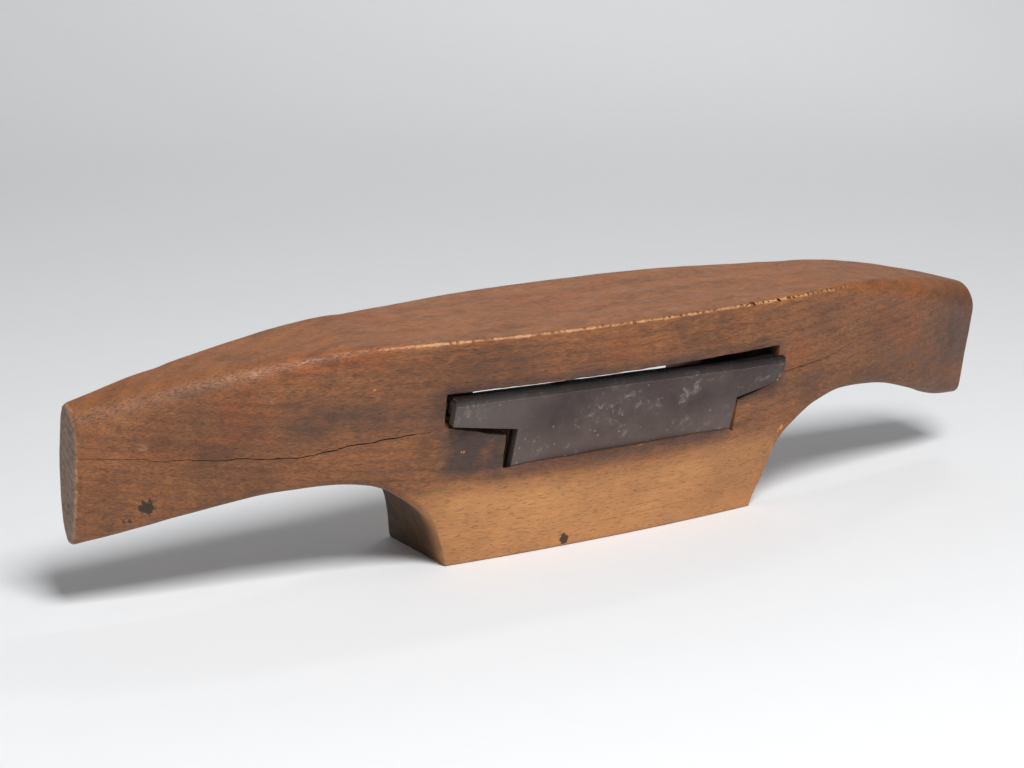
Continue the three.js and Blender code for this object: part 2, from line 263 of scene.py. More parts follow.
# %% [markdown]
# ## One section of the stock
# A section is a rectangle whose four corners are quarter ellipses. On the body the corners are
# small worn arrises; towards each end they grow until the grip is an oval. Under the foot the
# section follows the slanted heel instead of the underside. The points lie close together, since
# the wear and the dents are real moves of these points.
# %% Sections
CORNER_STEPS = 8
FACE_STEPS = {"heel": 30, "back": 44, "toe": 30, "sole": 56}
GRIP_START = 78
ARCH_START = (69, 82)
FOOT_ARRIS = 0.8
ARCH_RUB = 2.4
BODY_RADII = [(3, 2), (2.2, 2.2), (2, 2)]
END_RADII = [(4, 5), (10.5, 30), (4, 5), (10.5, 11)]


def smooth(value, low, high):
    t = min(max((value - low) / (high - low), 0), 1)
    return t * t * (3 - 2 * t)


def corner_radii(x):
    """The (v, w) radii of the corners: sole-heel, heel-back, back-toe, toe-sole."""
    grip = smooth(abs(x), GRIP_START, HALF_LENGTH)
    front_low = FOOT_ARRIS + ARCH_RUB * smooth(abs(x), *ARCH_START)
    body = [(front_low, front_low), *BODY_RADII]
    return [[a + (b - a) * grip for a, b in zip(one, two)] for one, two in zip(body, END_RADII)]


def heel_line(v):
    """The height of the sawn heel at depth v."""
    return -v * math.tan(STOCK_LEAN)


def section(x, inset=0):
    """The closed ring of (v, w) points of the stock at x."""
    sole, back = sole_at(x) + inset, back_at(x) - inset
    low, high = underside_at(x) + inset, toe_at(x) - inset
    low_front, low_back = max(low, heel_line(sole)), max(low, heel_line(back))
    (av, aw), (bv, bw), (cv, cw), (dv, dw) = corner_radii(x)
    arcs = [
        (sole + av, low_front + aw, av, aw, 180),
        (back - bv, low_back + bw, bv, bw, 270),
        (back - cv, high - cw, cv, cw, 0),
        (sole + dv, high - dw, dv, dw, 90),
    ]
    ring = []
    for (v, w, rv, rw, start), face, following in zip(arcs, FACE_STEPS, [*arcs[1:], arcs[0]]):
        for i in range(CORNER_STEPS + 1):
            angle = math.radians(start + 90 * i / CORNER_STEPS)
            ring.append((v + rv * math.cos(angle), w + rw * math.sin(angle)))
        v0, w0 = ring[-1]
        angle = math.radians(following[4])
        v1 = following[0] + following[2] * math.cos(angle)
        w1 = following[1] + following[3] * math.sin(angle)
        for i in range(1, FACE_STEPS[face]):
            share = i / FACE_STEPS[face]
            v, w = v0 + (v1 - v0) * share, w0 + (w1 - w0) * share
            ring.append((v, max(low, heel_line(v)) if face == "heel" else w))
    return ring


print("a section has", len(section(0)), "points")

# %% [markdown]
# ## Lofting the stock
# Sections are joined like the ribs of a boat. They stand closer where the outline turns quickly,
# at the side of the foot, and at the ends, where a small round runs into the flat end grain.
# The end faces get a few inner rings, so that they can be uneven too.
# %% Loft
END_ROUND = 1.4
STATION_BANDS = [(0, 68.4, 42), (68.4, 72, 14), (72, 118, 48), (118, 198, 50), (198, 201.6, 5)]
END_RINGS = (0.9, 0.75, 0.5, 0.25)


def stations():
    right = [
        start + (stop - start) * (i + 1) / steps
        for start, stop, steps in STATION_BANDS
        for i in range(steps)
    ]
    return [-x for x in reversed(right)] + [0] + right


def end_rings(side):
    """The rings from the last station round the arris and in across an end face."""
    rings = []
    for degrees in (22.5, 45, 67.5, 90):
        angle = math.radians(degrees)
        x = side * (HALF_LENGTH - END_ROUND * (1 - math.sin(angle)))
        ring = section(x, END_ROUND * (1 - math.cos(angle)))
        rings.append([(x, v, w) for v, w in ring])
    rim = rings[-1]
    middle = [sum(point[i] for point in rim) / len(rim) for i in range(3)]
    for share in END_RINGS:
        rings.append([tuple(m + (p - m) * share for p, m in zip(point, middle)) for point in rim])
    return rings, middle


def loft(rings, first, last):
    """Points and faces of a skin over the rings, closed by a fan to a point at each end."""
    size = len(rings[0])
    points = [point for ring in rings for point in ring] + [first, last]
    faces = []
    for r in range(len(rings) - 1):
        for i in range(size):
            a, b = r * size + i, r * size + (i + 1) % size
            faces.append((a, b, b + size, a + size))
    top = (len(rings) - 1) * size
    for i in range(size):
        following = (i + 1) % size
        faces.append((len(points) - 2, following, i))
        faces.append((len(points) - 1, top + i, top + following))
    return points, faces


left_rings, left_middle = end_rings(-1)
right_rings, right_middle = end_rings(1)
body_rings = [[(x, v, w) for v, w in section(x)] for x in stations()]
stock_points, stock_faces = loft(
    [*reversed(left_rings), *body_rings, *right_rings], left_middle, right_middle
)
stock = plain_mesh("stock_wood", [from_stock(*p) for p in stock_points], stock_faces)
print("blank:", len(stock_points), "points,", len(stock_faces), "faces")

# %% [markdown]
# ## Hand work on the surface
# No face of a hand-made tool is flat. Slow noise gives the spokeshave's waves, quicker noise the
# small unevenness of years of use, and a short list of dents the knocks. All of it moves the
# points along their normals, and dies away on the heel, which has to sit on the bench.
# %% Waves and dents
WAVES = [  # amount and reach along and across, in mm, and two shifts in the noise
    (0.42, 42, 20, 0, 0), (0.14, 11, 5, 7, 0), (0.05, 5, 1.7, 3, 9),
]
STILL_HEIGHT, WORKED_HEIGHT = 0.3, 3.3  # mm above the bench: unmoved below, full above
DENTS = [  # x, face, place along the face's height or depth, radius, depth, all in mm
    (-142, "sole", 58, 7, 0.35), (-96, "sole", 71, 5, 0.4), (-88, "toe", 9, 6, 0.4),
    (-34, "sole", 78, 6, 0.35), (22, "toe", 30, 8, 0.3), (66, "toe", 14, 5, 0.4),
    (92, "sole", 79, 5, 0.5), (101, "sole", 70, 4, 0.4), (121, "sole", 55, 8, 0.35),
    (158, "sole", 46, 6, 0.3), (-20, "sole", 4, 3.5, 0.5), (40, "back", 30, 8, 0.4),
    (-120, "back", 55, 9, 0.4), (140, "back", 50, 7, 0.4), (-170, "toe", 20, 6, 0.35),
    (-61, "sole", 20, 5, 0.25), (12, "sole", 25, 6, 0.2), (170, "toe", 16, 5, 0.3),
]


def dent_centre(x, face, place):
    return {
        "sole": (x, sole_at(x), place),
        "back": (x, back_at(x), place),
        "toe": (x, sole_at(x) + place, toe_at(x)),
    }[face]


def hand_work(mesh):
    """Moves each vertex along its normal by noise and dents, by up to half a millimetre."""
    x, v, w = to_stock(mesh)
    normals = np.empty(len(mesh.vertices) * 3, np.float32)
    mesh.vertices.foreach_get("normal", normals)
    move = np.empty(len(x))
    for i, (px, pv, pw) in enumerate(zip(x, v, w)):
        move[i] = sum(
            amount * noise.noise(Vector((px / along, pv / across + up, pw / across + out)))
            for amount, along, across, up, out in WAVES)
    for dx, face, place, radius, depth in DENTS:
        cx, cv, cw = dent_centre(dx, face, place)
        away = ((x - cx) ** 2 + (v - cv) ** 2 + (w - cw) ** 2) / radius**2
        move -= depth * np.exp(-2 * away)
    height = w * math.cos(STOCK_LEAN) + v * math.sin(STOCK_LEAN)
    move *= np.clip((height - STILL_HEIGHT) / (WORKED_HEIGHT - STILL_HEIGHT), 0, 1)
    flat = np.empty(len(x) * 3, np.float32)
    mesh.vertices.foreach_get("co", flat)
    moved = flat.reshape(-1, 3) + normals.reshape(-1, 3) * (move * MM)[:, None]
    mesh.vertices.foreach_set("co", moved.astype(np.float32).ravel())
    mesh.update()
    return move


worked = hand_work(stock.data)
print("hand work moved points by", round(float(abs(worked).max()), 2), "mm at most")

# %% [markdown]
# ## The mouth, the mortise and the throat
# The mouth is a T-shaped slot in the sole. Behind it a slanted mortise takes the stem and the
# wedge, and a throat opens to the back. Each is a solid of its own that a Boolean modifier takes
# out of the stock. The mouth's outline wavers like a chisel cut, and flares at the surface,
# where its arris has worn.
# %% Cutters
IRON_TILT = math.radians(6)
IRON_DEPTH = 1.8
IRON_FOOT = 37
MOUTH_LEFT, MOUTH_RIGHT, MOUTH_TOP, MOUTH_DEPTH = -75.4, 74.2, 67.5, 9
MORTISE_LEFT, MORTISE_RIGHT = -50.2, 55.4
MOUTH_OUTLINE = [
    (MOUTH_LEFT, 55.4), (MORTISE_LEFT, 49.5), (MORTISE_LEFT, 36.6), (MORTISE_RIGHT, 36.6),
    (MORTISE_RIGHT, 48.3), (MOUTH_RIGHT, 52.6), (MOUTH_RIGHT, MOUTH_TOP), (MOUTH_LEFT, MOUTH_TOP),
]
MOUTH_FLARE = 0.9
MOUTH_EASE = 0.35
CHISEL_STEP = 1.6
CHISEL_WAVER = 0.22
FIT_GAP = 0.3
POCKET_END_S, ABUTMENT_TOP_S = -28, 6
WEDGE_BACK_T = 10.77
WEDGE_SLOPE = math.tan(math.radians(8))
ESCAPEMENT_FLOOR, ESCAPEMENT_ROOF = 38, 80
BEYOND_BACK = STOCK_DEPTH + 5
CHEEK_MOUTH_LOW = 57
CHEEK_LOW, CHEEK_HIGH, CHEEK_DEPTH = 48, 71, 26


def wavering(outline, step, waver):
    """The outline with a point every "step", each moved a little off its line."""
    points = []
    for (x0, w0), (x1, w1) in zip(outline, [*outline[1:], outline[0]]):
        length = math.hypot(x1 - x0, w1 - w0)
        count = max(1, round(length / step))
        for i in range(count):
            x, w = x0 + (x1 - x0) * i / count, w0 + (w1 - w0) * i / count
            shift = noise.noise_vector(Vector((x / 4, 0.5, w / 4))) * waver
            points.append((x + shift.x, w + shift.z))
    return points


def widened(outline, by):
    """The anticlockwise outline moved outwards by "by" mm."""
    moved = []
    for i, (x, w) in enumerate(outline):
        (x0, w0), (x1, w1) = outline[i - 1], outline[(i + 1) % len(outline)]
        length = math.hypot(x1 - x0, w1 - w0)
        moved.append((x + (w1 - w0) / length * by, w - (x1 - x0) / length * by))
    return moved


def layered(name, layers):
    """A closed solid through rings of points in the stock's axes, with flat ends."""
    size = len(layers[0])
    points = [from_stock(*p) for layer in layers for p in layer]
    faces = [tuple(range(size)), tuple(range(len(points) - 1, len(points) - 1 - size, -1))]
    for r in range(len(layers) - 1):
        for i in range(size):
            a, b = r * size + i, r * size + (i + 1) % size
            faces.append((a, a + size, b + size, b))
    return face_out(plain_mesh(name, points, faces))


def face_out(piece):
    """Turns every face of a closed mesh outwards."""
    work = bmesh.new()
    work.from_mesh(piece.data)
    bmesh.ops.recalc_face_normals(work, faces=work.faces)
    work.to_mesh(piece.data)
    work.free()
    return piece


def cut_away(piece, *cutters):
    """Takes each cutter out of the piece, and removes the cutters."""
    for cutter in cutters:
        modifier = piece.modifiers.new("cut", "BOOLEAN")
        modifier.operation = "DIFFERENCE"
        modifier.solver = "MANIFOLD"
        modifier.object = cutter
        apply_modifiers(piece)
        bpy.data.objects.remove(cutter)


def apply_modifiers(piece):
    """Makes the piece's evaluated mesh its own, and removes its modifiers."""
    graph = bpy.context.evaluated_depsgraph_get()
    mesh = bpy.data.meshes.new_from_object(piece.evaluated_get(graph))
    piece.modifiers.clear()
    piece.data = mesh


def iron_point(t, s):
    """A point in from the cutter's face (t) and up the iron (s), as the stock's (v, w)."""
    return (
        IRON_DEPTH + t * math.cos(IRON_TILT) - s * math.sin(IRON_TILT),
        IRON_FOOT + t * math.sin(IRON_TILT) + s * math.cos(IRON_TILT),
    )


def box_ring(left, right, low, high, depth):
    """Four points of a rectangle at that depth, anticlockwise from the lower left."""
    return [(left, depth, low), (right, depth, low), (right, depth, high), (left, depth, high)]


mouth_edge = wavering(MOUTH_OUTLINE, CHISEL_STEP, CHISEL_WAVER)
mouth = layered("mouth", [
    [(x, sole_at(x) - 1.5, w) for x, w in widened(mouth_edge, MOUTH_FLARE)],
    [(x, sole_at(x) + 0.1, w) for x, w in widened(mouth_edge, MOUTH_EASE)],
    [(x, sole_at(x) + 0.8, w) for x, w in mouth_edge],
    [(x, MOUTH_DEPTH, w) for x, w in mouth_edge],
])
abutment_rise = (ABUTMENT_TOP_S - POCKET_END_S) * WEDGE_SLOPE
mortise_section = [
    iron_point(-FIT_GAP, 0),
    iron_point(-FIT_GAP, POCKET_END_S),
    iron_point(WEDGE_BACK_T, POCKET_END_S),
    iron_point(WEDGE_BACK_T + abutment_rise, ABUTMENT_TOP_S),
    (BEYOND_BACK, ESCAPEMENT_FLOOR),
    (BEYOND_BACK, ESCAPEMENT_ROOF),
    (MOUTH_DEPTH, MOUTH_TOP),
    (MOUTH_DEPTH - 3, IRON_FOOT + 1),
]
mortise = layered("mortise", [
    [(x, v, w) for v, w in mortise_section] for x in (MORTISE_LEFT, MORTISE_RIGHT)
])
cheeks = layered("cheeks", [
    box_ring(MOUTH_LEFT, MOUTH_RIGHT, CHEEK_MOUTH_LOW, MOUTH_TOP, MOUTH_DEPTH - 1),
    box_ring(MORTISE_LEFT, MORTISE_RIGHT, CHEEK_LOW, CHEEK_HIGH, CHEEK_DEPTH),
])
cut_away(stock, mouth, mortise, cheeks)
print("stock after its mouth and mortise:", len(stock.data.polygons), "faces")

# %% [markdown]
# ## Shakes in the wood
# Old beech splits along its grain. One long shake runs from the left end into the corner of the
# mouth, another from the mouth's right end along the right handle, and two fine ones cross the
# foot. Each is a thin wedge that follows a path along the sole, wandering a little as wood does.
# %% Shakes
SHAKES = [  # (x, w) along the sole, half width at each end, depth, fall per mm of depth
    ([(-206, 54), (-125, 50.1), (-118, 51.3), (-107, 53.1), (-93, 54.1), (-76, 55.2)],
     0.08, 0.36, 15, 0.7),
    ([(72, 55.6), (81, 56.1), (88, 56.6), (101, 57.5), (113, 60.8), (124, 62.6)],
     0.26, 0.12, 6, 0),
    ([(104, 61.6), (113, 63.6), (124, 64), (137, 63.7), (150, 63.5)], 0.10, 0.08, 3, 0),
    ([(-9, 7.3), (12, 8.2), (34, 8.4), (58, 9.3)], 0.12, 0.08, 3, 0),
    ([(8, 16.4), (26, 17.3), (49, 17.6)], 0.08, 0.06, 2, 0),
]
SHAKE_STEP = 1.2


def shake(path, start_half, end_half, depth, fall):
    """A thin wedge-shaped solid along the path, pointed at the ends that stop in the wood."""
    line = curve_through(path)
    count = round((path[-1][0] - path[0][0]) / SHAKE_STEP)
    layers = []
    for i in range(count + 1):
        share = i / count
        x = path[0][0] + (path[-1][0] - path[0][0]) * share
        wander = 0.9 * noise.noise(Vector((x / 9, depth, 2))) + 0.35 * noise.noise(
            Vector((x / 2.3, depth, 5)))
        opened = 0.75 + 0.5 * noise.noise(Vector((x / 3, 8, depth)))
        from_end = 1 if path[0][0] < -HALF_LENGTH else 6 * share + 0.15
        taper = min(1, from_end, 6 * (1 - share) + 0.15)
        half = (start_half + (end_half - start_half) * share) * opened * taper
        w = line(x) + wander
        bottom = sole_at(x) + depth * (0.35 + 0.65 * taper)
        layers.append([(x, sole_at(x) - 1.2, w + half), (x, sole_at(x) - 1.2, w - half),
                       (x, bottom, w - fall * (bottom - sole_at(x)))])
    return layered("shake", layers)


cut_away(stock, *[shake(*item) for item in SHAKES])
print("stock after its shakes:", len(stock.data.polygons), "faces")

# %% [markdown]
# ## Nicks along the front arris
# The arris between the sole and the toe face has been knocked all its life. Geometry Nodes put a
# small rough lump at even steps along the arris, with a fixed seed for its size and turn, and the
# lumps are then cut out of the wood. Even steps keep the lumps apart, which the cut needs.
# %% Nick cutters
NICK_STEP = 2.7
NICK_REACH = 108
NICK_SIZE = 1.3
NICK_UNDER = 0.35
NICK_DEEPER = 0.45
ARRIS_STEPS = 120


def node_tree(name, inputs):
    """A Geometry Nodes tree with a geometry input, named number inputs and an output."""
    tree = bpy.data.node_groups.new(name, "GeometryNodeTree")
    tree.interface.new_socket("Geometry", in_out="INPUT", socket_type="NodeSocketGeometry")
    for label, kind in inputs:
        tree.interface.new_socket(label, in_out="INPUT", socket_type=kind)
    tree.interface.new_socket("Geometry", in_out="OUTPUT", socket_type="NodeSocketGeometry")
    return tree, tree.nodes.new("NodeGroupInput"), tree.nodes.new("NodeGroupOutput")


def place(tree, kind, values=(), **settings):
    """Adds a node, sets it, and feeds its inputs with numbers or other nodes' outputs."""
    node = tree.nodes.new(kind)
    for name, value in settings.items():
        setattr(node, name, value)
    for key, value in dict(values).items():
        if isinstance(value, bpy.types.NodeSocket):
            tree.links.new(value, node.inputs[key])
        else:
            node.inputs[key].default_value = value
    return node


def run_tree(piece, tree, values):
    """Runs the tree on the piece, and leaves its result as the piece's plain mesh."""
    modifier = piece.modifiers.new(tree.name, "NODES")
    modifier.node_group = tree
    sockets = {item.name: item.identifier for item in tree.interface.items_tree
               if item.in_out == "INPUT"}
    for label, value in values.items():
        modifier[sockets[label]] = value
    apply_modifiers(piece)


def nick_tree(material):
    tree, given, result = node_tree("nicks_along_an_arris", [
        ("Step", "NodeSocketFloat"), ("Size", "NodeSocketFloat"), ("Seed", "NodeSocketInt")])
    to_curve = place(tree, "GeometryNodeMeshToCurve", {"Mesh": given.outputs["Geometry"]})
    spaced = place(tree, "GeometryNodeCurveToPoints",
                   {"Curve": to_curve.outputs[0], "Length": given.outputs["Step"]}, mode="LENGTH")
    lump = place(tree, "GeometryNodeMeshIcoSphere",
                 {"Radius": given.outputs["Size"], "Subdivisions": 2})
    sizes = place(tree, "FunctionNodeRandomValue",
                  {0: (0.25, 0.2, 0.2), 1: (1.15, 0.95, 0.95), "Seed": given.outputs["Seed"]},
                  data_type="FLOAT_VECTOR")
    turns = place(tree, "FunctionNodeRandomValue",
                  {0: (-0.4, -0.4, -0.4), 1: (0.4, 0.4, 0.4), "Seed": given.outputs["Seed"]},
                  data_type="FLOAT_VECTOR")
    lumps = place(tree, "GeometryNodeInstanceOnPoints", {
        "Points": spaced.outputs["Points"], "Instance": lump.outputs["Mesh"],
        "Scale": sizes.outputs[0], "Rotation": turns.outputs[0]})
    real = place(tree, "GeometryNodeRealizeInstances", {"Geometry": lumps.outputs[0]})
    coloured = place(tree, "GeometryNodeSetMaterial", {"Geometry": real.outputs[0]})
    coloured.inputs["Material"].default_value = material
    tree.links.new(coloured.outputs[0], result.inputs[0])
    return tree


def arris_line():
    """A chain of edges just under the front toe arris, and deeper on the right."""
    points = []
    for i in range(ARRIS_STEPS + 1):
        x = NICK_REACH * (2 * i / ARRIS_STEPS - 1)
        stray = 0.5 * noise.noise(Vector((x / 6, 1, 4)))
        under = NICK_UNDER + NICK_DEEPER * smooth(x, 45, 62)
        points.append(from_stock(
            x, sole_at(x) + under + stray, toe_at(x) - under + 0.4 * stray))
    mesh = bpy.data.meshes.new("nicks")
    mesh.from_pydata(points, [(i, i + 1) for i in range(ARRIS_STEPS)], [])
    made = bpy.data.objects.new("nicks", mesh)
    bpy.context.scene.collection.objects.link(made)
    return made


nicks = arris_line()
run_tree(nicks, nick_tree(bpy.data.materials.new("bare wood")),
         {"Step": NICK_STEP * MM, "Size": NICK_SIZE * MM, "Seed": 11})
print("nick cutters:", len(nicks.data.polygons) // 80)
cut_away(stock, nicks)

# %% [markdown]
# ## Where the stock is worn, dirty and painted with shade
# A shader can't know which edge a thumb has rubbed, so the mesh carries it as attributes, worked
# out from where each vertex lies: wear near the long arrises and the end rims, with a painted
# highlight along the front-top arris, painted shade inside the cut cavities, dark smudges that
# are partly painted shade, iron stains with painted shadow, the paler foot on the faces, and
# painted shade in the left arch. The finish breaks them up with noise.
# %% Wear attributes
# Dark patches: dirt on the left handle, painted shade on the far right handle and above the iron.
SMUDGES_AND_SHADE = [  # x, w, half width, half height, strength, on the sole
    (-112, 61, 42, 9, 1.0), (-60, 76, 26, 8, 0.75), (-20, 73, 20, 6, 0.5), (96, 74, 14, 8, 0.6),
    (186, 50, 30, 26, 0.9), (130, 68, 22, 9, 0.3), (86, 50, 12, 9, 0.55), (150, 44, 20, 7, 0.4),
    (-90, 44, 12, 10, 0.3), (-192, 30, 8, 8, 0.35),
]
# Iron stains, and painted shadow: the bands under the proud ears, along the iron's lower edge, and in
# the gaps at the mouth's left end and top.
IRON_STAINS_AND_SHADOW = [  # x from, x to, w from, w to, strength: where the irons have bled into the wood
    (-76, -44, 35, 60, 1.0), (54, 80, 46, 57, 0.8), (-52, 54, 32, 40, 0.7),
    (-58, -38, 31, 39, 0.7), (-78, 76, 64, 70.5, 0.8), (-82, -72, 50, 70, 0.6),
]
PALE_FOOT_TOP = 31
FRONT_TOE = 3


def near(distance, reach):
    return np.exp(-((distance / reach) ** 2))


def step(value, low, high):
    t = np.clip((value - low) / (high - low), 0, 1)
    return t * t * (3 - 2 * t)


def in_patch(value, low, high, edge):
    return step(value, low - edge, low + edge) * (1 - step(value, high - edge, high + edge))


def set_attribute(mesh, name, values):
    made = mesh.attributes.new(name, "FLOAT", "POINT")
    made.data.foreach_set("value", np.asarray(values, np.float32))


def edge_of(cv, cw, in_v, in_w, rv, rw, v, w):
    """How far each point is from the middle of a corner's round, and how deep under it."""
    away = np.hypot(v - cv - 0.3 * in_v * rv, w - cw - 0.3 * in_w * rw)
    over_v, over_w = 1 - (v - cv) * in_v / rv, 1 - (w - cw) * in_w / rw
    depth = (1 - np.hypot(over_v, over_w)) * np.minimum(rv, rw)
    return away, np.where((over_v > 0) & (over_w > 0), depth, np.inf)


def stock_wear(mesh):
    """Adds the wear attributes and returns the mean of each, to look at."""
    x, v, w = to_stock(mesh)
    sole, back, toe, low = (np.array([f(one) for one in x])
                            for f in (sole_at, back_at, toe_at, underside_at))
    low = np.maximum(low, heel_line(v))
    radii = np.array([corner_radii(one) for one in x])
    corners = [(sole, low, 1, 1), (back, low, -1, 1), (back, toe, -1, -1), (sole, toe, 1, -1)]
    skin = np.minimum.reduce([v - sole, back - v, toe - w, w - low, HALF_LENGTH - abs(x)])
    wear = np.zeros(len(x))
    on_body = 1 - step(abs(x), 80, 125)
    for i, corner in enumerate(corners):
        rv, rw = radii[:, i, 0], radii[:, i, 1]
        away, depth = edge_of(*corner, rv, rw, v, w)
        # wear, and a painted highlight: strongest along the front-top arris
        strength = 0.25 + 0.75 * on_body if i == FRONT_TOE else 0.6 * on_body
        wear = np.maximum(wear, strength * near(away, 0.5 + 0.1 * np.minimum(rv, rw)))
        skin = np.minimum(skin, depth)
    rim = np.maximum.reduce([-(v - sole - 2), -(back - v - 2), -(toe - w - 2), -(w - low - 2)])
    end_rim = near(HALF_LENGTH - abs(x), 1.6) * step(rim, -1.5, 1.5)
    wear = np.maximum(wear, 0.8 * end_rim)
    on_sole = 1 - step(v - sole, 1.0, 5)
    smudge_and_shade, stain_and_shadow = np.zeros(len(x)), np.zeros(len(x))
    for cx, cw, half_x, half_w, strength in SMUDGES_AND_SHADE:
        away = ((x - cx) / half_x) ** 2 + ((w - cw) / half_w) ** 2
        smudge_and_shade = np.maximum(smudge_and_shade, strength * np.exp(-away) * on_sole)
    for x0, x1, w0, w1, strength in IRON_STAINS_AND_SHADOW:
        patch = in_patch(x, x0, x1, 5.0) * in_patch(w, w0, w1, 3.0)
        stain_and_shadow = np.maximum(stain_and_shadow, strength * patch * on_sole)
    foot = 1 - step(w, PALE_FOOT_TOP - 9, PALE_FOOT_TOP + 6)
    in_left_arch = step(-x, 66, 69) * (1 - step(-x, 96, 112))
    values = {
        "wear": wear * (1 - step(skin, 0.8, 2.5)),
        # painted shade: the cut cavities and shakes, darkened from just under the skin inwards
        "recess_shade": step(skin, 0.8, 1.9),
        "smudge_and_shade": smudge_and_shade,
        "stain_and_shadow": stain_and_shadow,
        "foot": foot * (1 - step(abs(x), 70, 100)),
        # painted shade: the left arch's side wall, darker near the underside and away from the front
        "arch_shade": in_left_arch * (1 - step(w - low, 4, 14)) * step(v, 3, 15),
        "toe_face": step(w - toe, -4, -0.8),
    }
    for name, one in values.items():
        set_attribute(mesh, name, one)
    return {name: round(float(np.mean(one)), 3) for name, one in values.items()}


stock.data.set_sharp_from_angle(angle=math.radians(38))
print("mean wear:", stock_wear(stock.data))

# %% [markdown]
# ## A small kit for finishes
# A finish is a tree of shader nodes. These helpers add one node each and hand back its output,
# so a finish reads as a recipe: a ground colour, what lies over it, how rough it is and how deep
# its marks are. Colours are given as a painter reads them off a card, 0 to 255.
# %% Finish helpers
def paint(red, green, blue):
    """A colour-card colour as the linear colour that shaders use."""
    linear = [((c / 255 + 0.055) / 1.055) ** 2.4 if c > 10 else c / 255 / 12.92
              for c in (red, green, blue)]
    return (*linear, 1)


class Finish:
    """A material being built up, node by node."""

    def __init__(self, name):
        self.material = bpy.data.materials.new(name)
        self.material.use_nodes = True
        self.tree = self.material.node_tree
        self.shader = self.tree.nodes["Principled BSDF"]
        self.object = self.node("ShaderNodeTexCoord").outputs["Object"]

    def node(self, kind, values=(), **settings):
        return place(self.tree, kind, values, **settings)

    def math(self, operation, *values):
        return self.node("ShaderNodeMath", enumerate(values), operation=operation).outputs[0]

    def stretched(self, where, x, y, z):
        """The place multiplied along each axis: a bigger number squeezes the pattern."""
        return self.node("ShaderNodeVectorMath", {0: where, 1: (x, y, z)},
                         operation="MULTIPLY").outputs[0]

    def noise(self, where, scale, detail=3, roughness=0.55, warp=0):
        return self.node("ShaderNodeTexNoise", {
            "Vector": where, "Scale": scale, "Detail": detail, "Roughness": roughness,
            "Distortion": warp}).outputs["Fac"]

    def ease(self, value, low, high, start=0, stop=1):
        """0 to 1 (or start to stop) as the value goes from low to high, smoothly."""
        return self.node("ShaderNodeMapRange", {
            "Value": value, "From Min": low, "From Max": high, "To Min": start, "To Max": stop,
        }, interpolation_type="SMOOTHSTEP").outputs[0]

    def mask(self, name):
        return self.node("ShaderNodeAttribute", attribute_name=name).outputs["Fac"]

    def times(self, *values):
        product = values[0]
        for value in values[1:]:
            product = self.math("MULTIPLY", product, value)
        return product

    def over(self, ground, colour, share):
        """The colour laid over the ground, by that share."""
        return self.node("ShaderNodeMix", {0: share, 6: ground, 7: colour},
                         data_type="RGBA").outputs[2]

    def relief(self, layers):
        """Bump from (height, depth in mm) layers, laid one over another."""
        normal = None
        for height, depth in layers:
            values = {"Height": height, "Distance": depth * MM, "Strength": 1.0}
            if normal is not None:
                values["Normal"] = normal
            normal = self.node("ShaderNodeBump", values).outputs[0]
        self.tree.links.new(normal, self.shader.inputs["Normal"])

    def set(self, name, value):
        place_value = self.shader.inputs[name]
        if isinstance(value, bpy.types.NodeSocket):
            self.tree.links.new(value, place_value)
        else:
            place_value.default_value = value

    def fine_lines(self, where, scale, width, stray):
        """1 on thin wandering lines: where a smooth noise passes through its middle value."""
        level = self.noise(where, scale, detail=1.5, warp=stray)
        off = self.math("ABSOLUTE", self.math("SUBTRACT", level, 0.5))
        return self.ease(off, 0, width, 1, 0)

    def specks(self, where, scale, size, share):
        """1 on small scattered dots, one at most in each cell, in that share of the cells."""
        cells = self.node("ShaderNodeTexVoronoi", {"Vector": where, "Scale": scale})
        pick = self.node("ShaderNodeSeparateColor", {0: cells.outputs["Color"]}).outputs[0]
        dot = self.ease(cells.outputs["Distance"], size * 0.5, size, 1, 0)
        return self.times(dot, self.math("GREATER_THAN", pick, 1 - share))


print("sole colour as linear:", [round(c, 3) for c in paint(140, 90, 55)[:3]])

# %% [markdown]
# ## Old beech
# Beech is plain pinkish-brown wood with short dark flecks along the grain. A century of hands and
# oil has browned it, rust-red in places, and left it dark beside the iron and pale where the foot
# is handled least; some of the dark beside the iron is painted shadow, under the proud ears and
# in the gaps round the mouth. The recipe turns Object coordinates into the stock's axes, so that
# grain runs along the plane through every face, and the end faces show the ring ends, grey with dirt.
# %% Beech finish
BARE_CHIPS = [(-103.2, 72, 0.2), (-68, 44.7, 0.1), (82, 31.1, 0.8)]  # x, w and radius, in mm
BLACK_SPOTS = [
    (-180, 34.3, 2.4), (-175.6, 39.0, 0.1), (-185.6, 29.9, 0.9), (-179, 36.5, 1.2),
    (-20.6, 2.6, 2.0),
]
BLOT_RAG = 7
BLOT_MARGIN = 3.2
BLOT_EDGE = 0.7


def grain_place(finish):
    """Object coordinates turned into the stock's axes, in metres."""
    mapping = finish.node("ShaderNodeMapping", {"Vector": finish.object}, vector_type="POINT")
    mapping.inputs["Rotation"].default_value = (-STOCK_LEAN, 0, 0)
    mapping.inputs["Location"].default_value = (
        0, HEEL_HALF * MM * math.cos(STOCK_LEAN), -HEEL_HALF * MM * math.sin(STOCK_LEAN))
    return mapping.outputs[0]


def blot(finish, where, x, w, radius):
    """1 within a ragged round blot on the sole."""
    centre = (x * MM, sole_at(x) * MM, w * MM)
    away = finish.node("ShaderNodeVectorMath", {0: where, 1: centre},
                       operation="DISTANCE").outputs["Value"]
    rag = finish.noise(where, 330, 4, 0.7)
    ragged = finish.math("MULTIPLY_ADD", rag, BLOT_RAG * MM, away)
    inner = radius + BLOT_MARGIN
    return finish.ease(ragged, inner * MM, (inner + BLOT_EDGE) * MM, 1, 0)


